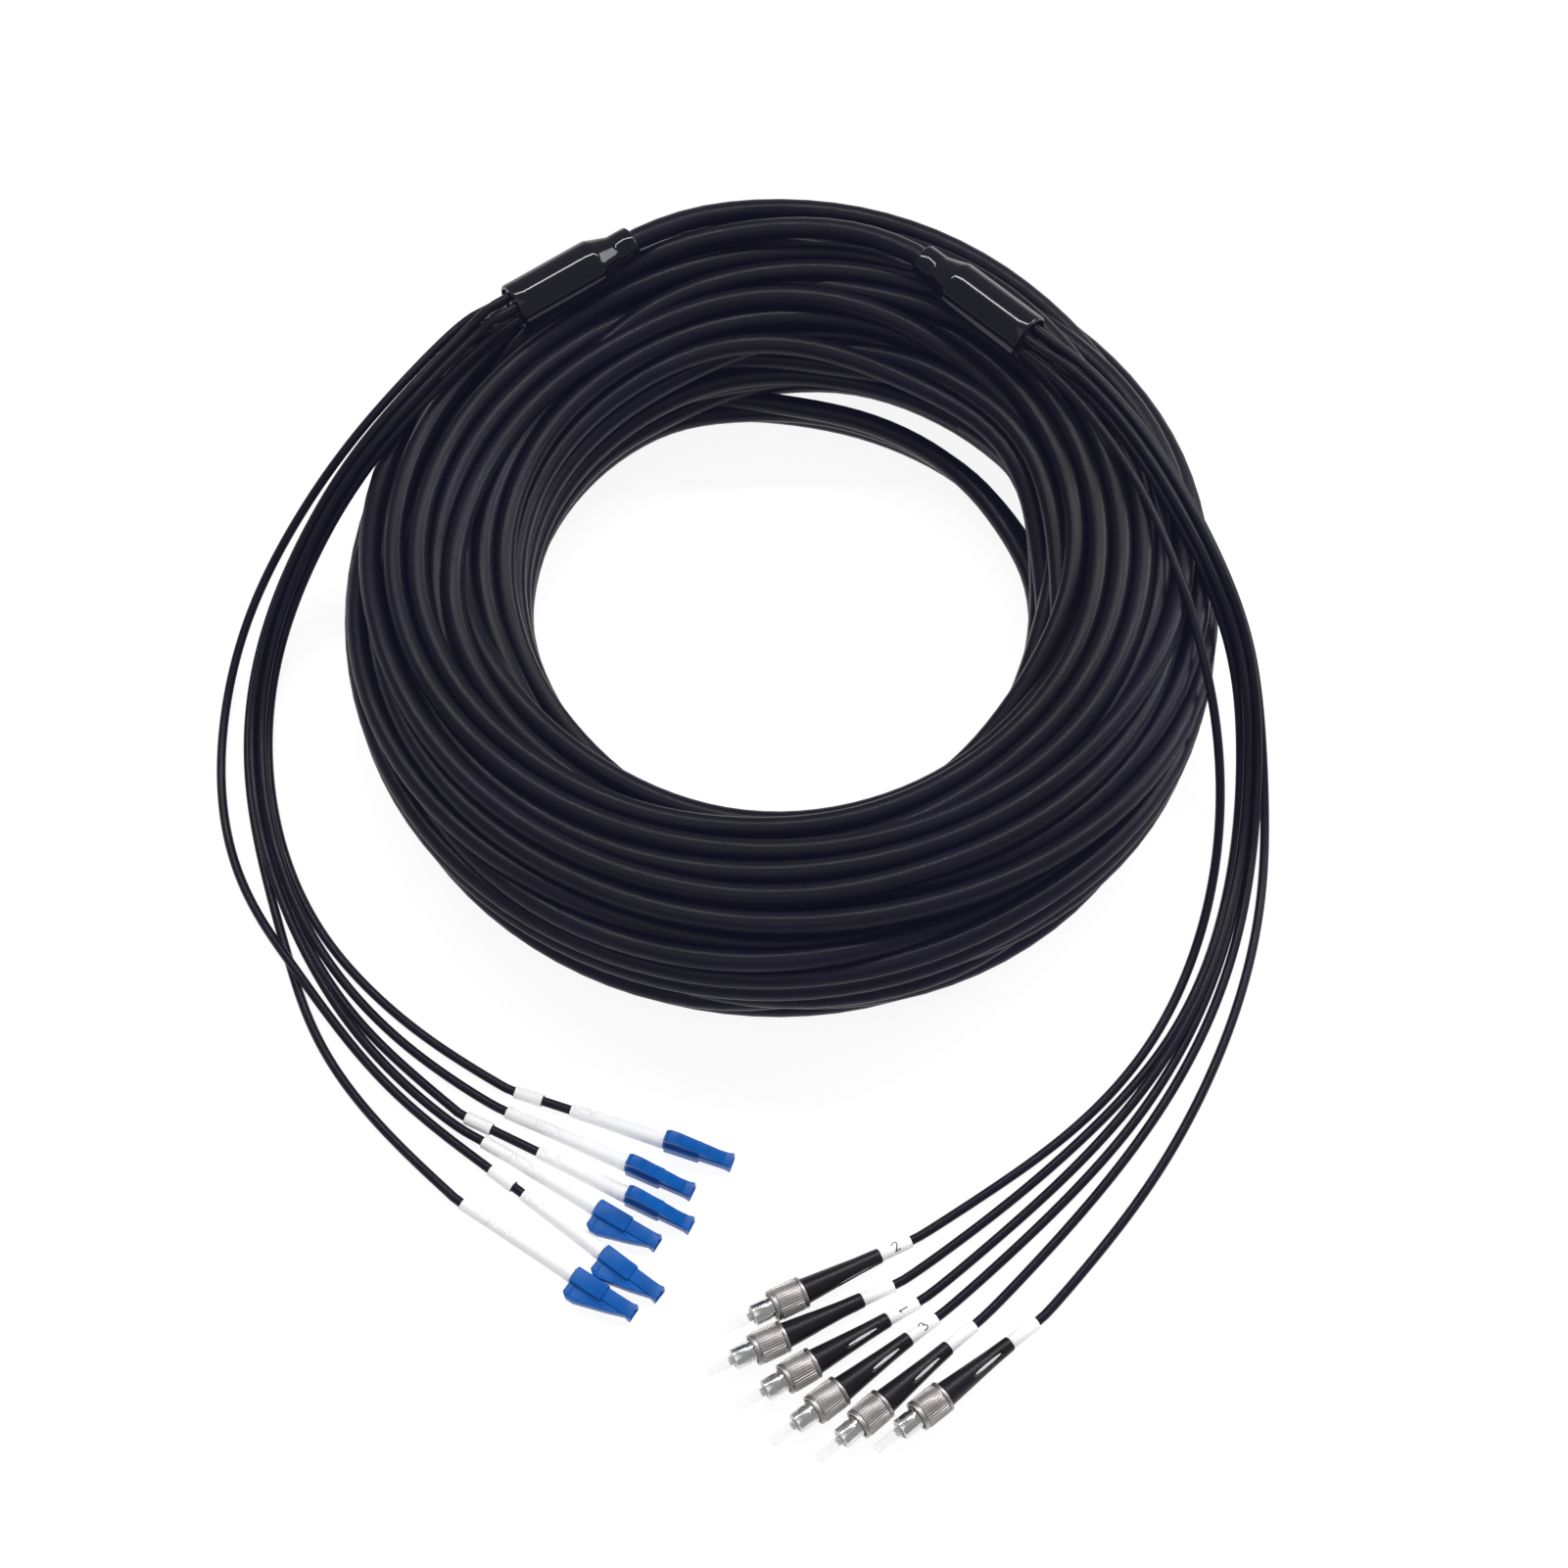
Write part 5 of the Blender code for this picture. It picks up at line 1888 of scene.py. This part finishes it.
@dataclass
class ScrewPlug:
    """A threaded plug of a right tail: label, black boot, barrel, ferrule, cap and nut.

    Attributes:
        number: its number.
        label_gap: length between the label sleeve in CAD and the boot, in mm, as all the rest.
        boot_length: length of the black boot.
        boot_tip: the boot's diameter at the tail.
        boot_base: its diameter at the nut.
        barrel: diameter of the barrel.
        flange: diameter of its flange.
        nut: diameter of the nut.
        nut_length: length of the nut.
        barrel_front: how far the barrel stands out of the nut.
        ferrule: radius of the ferrule.
        cap: diameter of the clear cap.
        cap_length: how far the cap stands out of the barrel.
        ridges: ridges of the knurl.
    """

    number: str
    label_gap: float = 1.5
    boot_length: float = 26.0
    boot_tip: float = 4.7
    boot_base: float = 8.0
    barrel: float = 6.7
    flange: float = 7.5
    nut: float = 10.0
    nut_length: float = 10.5
    barrel_front: float = 6.6
    ferrule: float = 1.25
    cap: float = 3.3
    cap_length: float = 9.5
    ridges: int = 36

    @property
    def name(self) -> str:
        """Side and number."""
        return f"right_{self.number}"

    @property
    def tip(self) -> float:
        """Length from the label's rear to the boot's tip."""
        return LABEL_LENGTH + self.label_gap

    @property
    def front(self) -> float:
        """Length from the label's rear to the boot's front."""
        return self.tip + self.boot_length

    @property
    def slot_angle(self) -> float:
        """Angle of the boot's slots about its axis, in degrees."""
        return {"1": 10.0, "2": 170.0}.get(self.number, 62.0)

    def place(self) -> PlugPlace:
        """Its frame."""
        spot, heading = SCREW_PLUGS[self.number]
        return PlugPlace(spot, heading, self.front, LABEL_OUTER_D / 2, self.nut / 2)

    def boot_radius(self, x: np.ndarray) -> np.ndarray:
        """The boot's radius, by straight runs between four places.

        Args:
            x: distance from its tip, in mm.

        Returns:
            The radius, in mm.
        """
        tip, base, length = self.boot_tip / 2, self.boot_base / 2, self.boot_length
        return np.interp(x, [0, 0.3 * length, 0.75 * length, length],
                         [tip, tip * 0.8 + base * 0.2, tip * 0.3 + base * 0.7, base])

    def boot_skin(self) -> Skin:
        """The black boot, with a long slot on each side of its slim half.

        Returns:
            The closed skin.
        """
        tip, base, length = self.boot_tip / 2, self.boot_base / 2, self.boot_length
        rows = [(x, float(self.boot_radius(x))) for x in np.arange(0.3, length - 0.3, 0.45)]
        profile = [(1.2, BOOT_BORE_R), (0.1, BOOT_BORE_R), (0.0, BOOT_BORE_R + 0.13),
                   (0.0, tip - 0.25), (0.08, tip - 0.08)]
        profile += rows + [(length - 0.3, base), (length - 0.08, base - 0.08), (length, base - 0.3)]

        def slots(x: np.ndarray, angle: np.ndarray) -> np.ndarray:
            """Two long slots, on opposite sides.

            Args:
                x: places along the piece, in mm.
                angle: angles about it, in radians.

            Returns:
                The depth at each of them, in mm.
            """
            span = smooth_step(x, 4.0, 4.8) * (1 - smooth_step(x, 15.2, 16.2))
            depth = np.zeros(np.broadcast(x, angle).shape)
            for facing in (self.slot_angle, self.slot_angle + 180.0):
                offset = np.abs(turn_from(angle, facing)) * self.boot_radius(x)
                depth = np.maximum(depth, 0.6 * span * (1 - smooth_step(offset, 0.46, 0.78)))
            return depth

        return revolved(profile, 64, relief=slots)

    def painted_slot_highlight_skin(self) -> Skin:
        """The light strips in the slots: a painted highlight that stands for the bright reflection
        in each slot, shaped as an inner tube showing through.

        Each is a ribbon wrapped round the axis, narrower towards its ends as a sine's root.

        Returns:
            The closed skin.
        """
        strips = []
        for facing in (self.slot_angle, self.slot_angle + 180.0):
            x = np.linspace(4.9, 15.0, 14)
            narrow = np.sin(np.pi * (x - 4.5) / 10.9) ** 0.5
            reach = self.boot_radius(x) - 0.42
            section = np.array([(-0.44, -0.2), (0.44, -0.2), (0.44, 0.0), (-0.44, 0.0)])
            angle = math.radians(facing) + section[None, :, 0] * narrow[:, None] / reach[:, None]
            radius = reach[:, None] + section[None, :, 1]
            rings = np.stack([np.broadcast_to(x[:, None], radius.shape), radius * np.cos(angle),
                              radius * np.sin(angle)], -1)
            strips.append(lofted(rings * MM, x * MM))
        return Skin.joined(strips)

    def barrel_skin(self) -> Skin:
        """The barrel with its flange, key and bored front.

        Returns:
            The closed skin.
        """
        radius, flange = self.barrel / 2, self.flange / 2
        front = self.nut_length + self.barrel_front
        profile = [(0.0, radius - 0.1), (0.1, radius), (2.8, radius), (2.8, flange - 0.1),
                   (2.9, flange), (4.2, flange), (4.3, flange - 0.1), (4.3, radius), (11.6, radius),
                   (11.7, radius - 0.25), (12.2, radius - 0.25), (12.3, radius),
                   (front - 0.4, radius), (front - 0.1, radius - 0.12), (front, radius - 0.35),
                   (front, 2.72), (front - 0.15, 2.6), (front - 3.6, 2.55), (front - 3.6, 1.0)]
        section = rounded_square(0.8, 0.5, 0.22, 4)
        rings = []
        for x, inset in ((-0.9, 0.3), (-0.98, 0.1), (-1.2, 0.0), (-4.8, 0.0), (-5.02, 0.1),
                         (-5.1, 0.3)):
            size = np.array([0.8 - inset * 0.5, 0.5 - inset * 0.5]) / np.array([0.8, 0.5])
            rings.append(ring_at(front + x, section * size + np.array([0.0, radius + 0.05])))
        key = lofted(np.array(rings[::-1]) * MM, np.arange(len(rings)) * 0.5 * MM)
        return Skin.joined([revolved(fine_rows(profile, 2.5), 56), key])

    def nut_skin(self) -> Skin:
        """The nut: plain rims, knurled band, and a threaded bore.

        The knurl's depth is a rounded wave of the angle, and its ridges fade at the band's ends.

        Returns:
            The closed skin.
        """
        outer, lip = self.nut / 2, self.barrel / 2 + 0.3
        length, bore = self.nut_length, 4.1
        band = [(1.5, outer - 0.08), (1.62, outer - 0.02), (8.85, outer - 0.02),
                (8.97, outer - 0.08)]
        outside = [(0.0, outer - 0.22), (0.06, outer - 0.06), (0.2, outer), (0.85, outer),
                   (1.0, outer - 0.1), (1.08, outer - 0.42), (1.38, outer - 0.42)] + band + [
                   (9.1, outer - 0.42), (9.36, outer - 0.42), (9.44, outer - 0.22),
                   (9.6, outer - 0.15), (10.25, outer - 0.15), (10.42, outer - 0.22),
                   (length, outer - 0.42)]
        thread = []
        for turn in range(10):
            x = 9.9 - 0.75 * turn
            thread += [(x, bore), (x - 0.3, bore - 0.16), (x - 0.42, bore - 0.16)]
        inside = [(length, bore + 0.25), (length - 0.25, bore)] + thread + [
            (2.2, bore), (2.2, lip), (0.15, lip), (0.0, lip + 0.15)]
        profile = outside + inside

        def knurl(x: np.ndarray, angle: np.ndarray) -> np.ndarray:
            """The knurl, on the band's rows only.

            Args:
                x: places along the piece, in mm.
                angle: angles about it, in radians.

            Returns:
                The depth at each of them, in mm.
            """
            rows = np.array([row in band for row in profile])[:, None]
            wave = 0.5 - 0.5 * np.cos(angle * self.ridges)
            return 0.2 * smooth_step(wave, 0.15, 0.9) * rows + 0 * x

        return revolved(profile, self.ridges * 6, Ends.LOOPED, knurl)

    def cap_skin(self) -> Skin:
        """The clear cap: a thin tube with a closed, slightly narrower tip.

        Returns:
            The closed skin.
        """
        front = self.nut_length + self.barrel_front
        outer, end = self.cap / 2, front + self.cap_length
        profile = [(end - 0.5, 0.3), (end - 0.9, outer * 0.5), (end - 1.6, outer * 0.68),
                   (front + 2.0, outer - 0.3), (front - 1.3, outer - 0.3),
                   (front - 1.5, outer - 0.2), (front - 1.4, outer), (front + 2.0, outer),
                   (end - 2.0, outer * 0.9), (end - 0.8, outer * 0.84), (end - 0.3, outer * 0.7),
                   (end - 0.05, outer * 0.42), (end, outer * 0.15)]
        return revolved(profile, 32)

    def build(self, finishes: Finishes) -> list:
        """Makes the plug's pieces.

        Args:
            finishes: the materials.

        Returns:
            The pieces apart from the nut, on the same body as its tail.
        """
        place = self.place()
        digit, turn = PRINTED_NUMBERS.get(self.number, ("", 0.0))
        label = Label(self.name, place, length=self.tip - 0.05, digit=digit, digit_turn=turn,
                      seam=30.0 + 70.0 * int(self.number))
        pieces = label.build(finishes)
        matrix = place.matrix(self.tip)
        pieces.append(make_piece(f"black_boot_{self.number}", self.boot_skin().placed(matrix),
                                 finishes.black_boot, (f"screw_boot_{self.number}",)))
        # The light strips in the slots are a painted highlight.
        pieces.append(make_piece(f"boot_painted_slot_highlight_{self.number}", self.painted_slot_highlight_skin().placed(matrix),
                                 finishes.painted_slot_highlight))
        matrix = place.matrix(self.front + GAP_MM)
        pieces.append(make_piece(f"plug_barrel_{self.number}", self.barrel_skin().placed(matrix),
                                 finishes.chrome, (f"screw_barrel_{self.number}",)))
        front = self.nut_length + self.barrel_front
        pin = revolved([(front - 3.9, self.ferrule), (front + 1.3, self.ferrule),
                        (front + 1.48, self.ferrule - 0.2)], 32)
        pieces.append(make_piece(f"wide_ferrule_{self.number}", pin.placed(matrix),
                                 finishes.ceramic))
        pieces.append(make_piece(f"clear_cap_{self.number}", self.cap_skin().placed(matrix),
                                 finishes.clear))
        make_piece(f"knurled_nut_{self.number}", self.nut_skin().placed(matrix), finishes.knurled,
                   (f"screw_nut_{self.number}",), body=f"nut_{self.number}", crease=30.0)
        return pieces

    def tail(self) -> Tail:
        """Its tail."""
        return Tail(Side.RIGHT, self.number, self.place(), self.tip)


@dataclass
class Studio:
    """The camera, the pale floor and the soft lights.

    Attributes:
        lens: in mm, on a 36 mm sensor, for a square frame.
        camera_place: in mm.
        camera_tilt: angle of the camera from straight down, in degrees.
        aim: the point that the lights face, from the coil's middle, in mm.
        floor_reach: half the floor's width, in metres.
        floor_glow: the light that the floor gives off.
        sky: strength of the light from all round.
        lights: name, place (mm), size (mm), power (W) and colour of each.
    """

    lens: float = 67.91
    camera_place: tuple[float, float, float] = (14.65, -394.56, 879.12)
    camera_tilt: float = 25.0
    aim: tuple[float, float, float] = (0.0, -80.0, 0.0)
    floor_reach: float = 6.0
    floor_glow: float = 0.9
    sky: float = 0.34
    lights: list = field(default_factory=lambda: [
        ("strip_light", (0.0, 570.0, 1200.0), (1700.0, 64.0), 13.0, (1.0, 0.99, 0.985)),
        ("top_light", (-200.0, -600.0, 1500.0), (1200.0, 1200.0), 3.5, (0.98, 0.985, 1.0)),
        ("side_light", (900.0, 500.0, 600.0), (700.0, 400.0), 7.0, (0.97, 0.98, 1.0)),
    ])

    def add_camera(self) -> None:
        """Adds the camera."""
        data = bpy.data.cameras.new("photo_camera")
        data.lens = self.lens
        data.sensor_width = 36.0
        data.sensor_fit = "AUTO"
        data.clip_start, data.clip_end = 0.01, 20.0
        camera = bpy.data.objects.new("photo_camera", data)
        camera.location = [value * MM for value in self.camera_place]
        camera.rotation_euler = (math.radians(self.camera_tilt), 0.0, 0.0)
        bpy.context.scene.collection.objects.link(camera)
        bpy.context.scene.camera = camera

    def add_light(self, name: str, place: tuple, size: tuple, power: float,
                  colour: tuple) -> None:
        """Adds an area light that points at the coil.

        Args:
            name: its name.
            place: in mm.
            size: length and width, in mm.
            power: in watts.
            colour: its colour.
        """
        data = bpy.data.lights.new(name, "AREA")
        data.shape = "RECTANGLE"
        data.size, data.size_y = size[0] * MM, size[1] * MM
        data.energy, data.color = power, colour
        light = bpy.data.objects.new(name, data)
        spot = np.array(place) * MM
        aim = COIL_PLACE + np.array(self.aim) * MM - spot
        light.location = spot.tolist()
        light.rotation_euler = Vector(aim.tolist()).to_track_quat("-Z", "Y").to_euler()
        bpy.context.scene.collection.objects.link(light)

    def add_floor(self) -> None:
        """Adds the pale floor."""
        recipe = Recipe("studio_floor")
        tone = recipe.noise(recipe.place(), 3.0)
        recipe.set(Base_Color=recipe.mixed(recipe.spread(tone, 0.0, 1.0), grey(0.17),
                                           grey(0.16, (1, 1, 1.03))),
                   Roughness=0.9, Specular_IOR_Level=0.1, Emission_Color=grey(1.0),
                   Emission_Strength=self.floor_glow)
        corners = np.array([(-1, -1, 0), (1, -1, 0), (1, 1, 0), (-1, 1, 0)]) * self.floor_reach
        mesh = bpy.data.meshes.new("studio_floor")
        mesh.from_pydata(corners.tolist(), [], [[0, 1, 2, 3]])
        mesh.materials.append(recipe.material)
        floor = bpy.data.objects.new("studio_floor", mesh)
        bpy.context.scene.collection.objects.link(floor)

    def build(self) -> None:
        """Adds camera, floor, lights and world."""
        self.add_camera()
        self.add_floor()
        for light in self.lights:
            self.add_light(*light)
        world = bpy.data.worlds.new("studio_world")
        world.use_nodes = True
        background = world.node_tree.nodes["Background"]
        background.inputs["Color"].default_value = (0.97, 0.98, 1.0, 1.0)
        background.inputs["Strength"].default_value = self.sky
        scene = bpy.context.scene
        scene.world = world
        scene.view_settings.view_transform = "Standard"
        scene.view_settings.look = "None"
        scene.view_settings.exposure = 0.0
        scene.view_settings.gamma = 1.0


def main() -> None:
    """Builds the studio and then the cable, piece by piece."""
    logging.basicConfig(level=logging.INFO, format="%(name)s: %(message)s")
    Studio().build()
    finishes = Finishes()
    boots = [BreakoutBoot(side).build(finishes) for side in Side]
    trunk = Winding().build(finishes, boots)
    plugs = ([LatchedPlug(number) for number in LATCHED_PLUGS]
             + [ScrewPlug(number) for number in SCREW_PLUGS])
    routes = Drape([plug.tail() for plug in plugs], trunk).settled()
    for plug in plugs:
        plug.tail().build(finishes, routes[plug.name], plug.build(finishes))


if __name__ == "__main__":
    main()
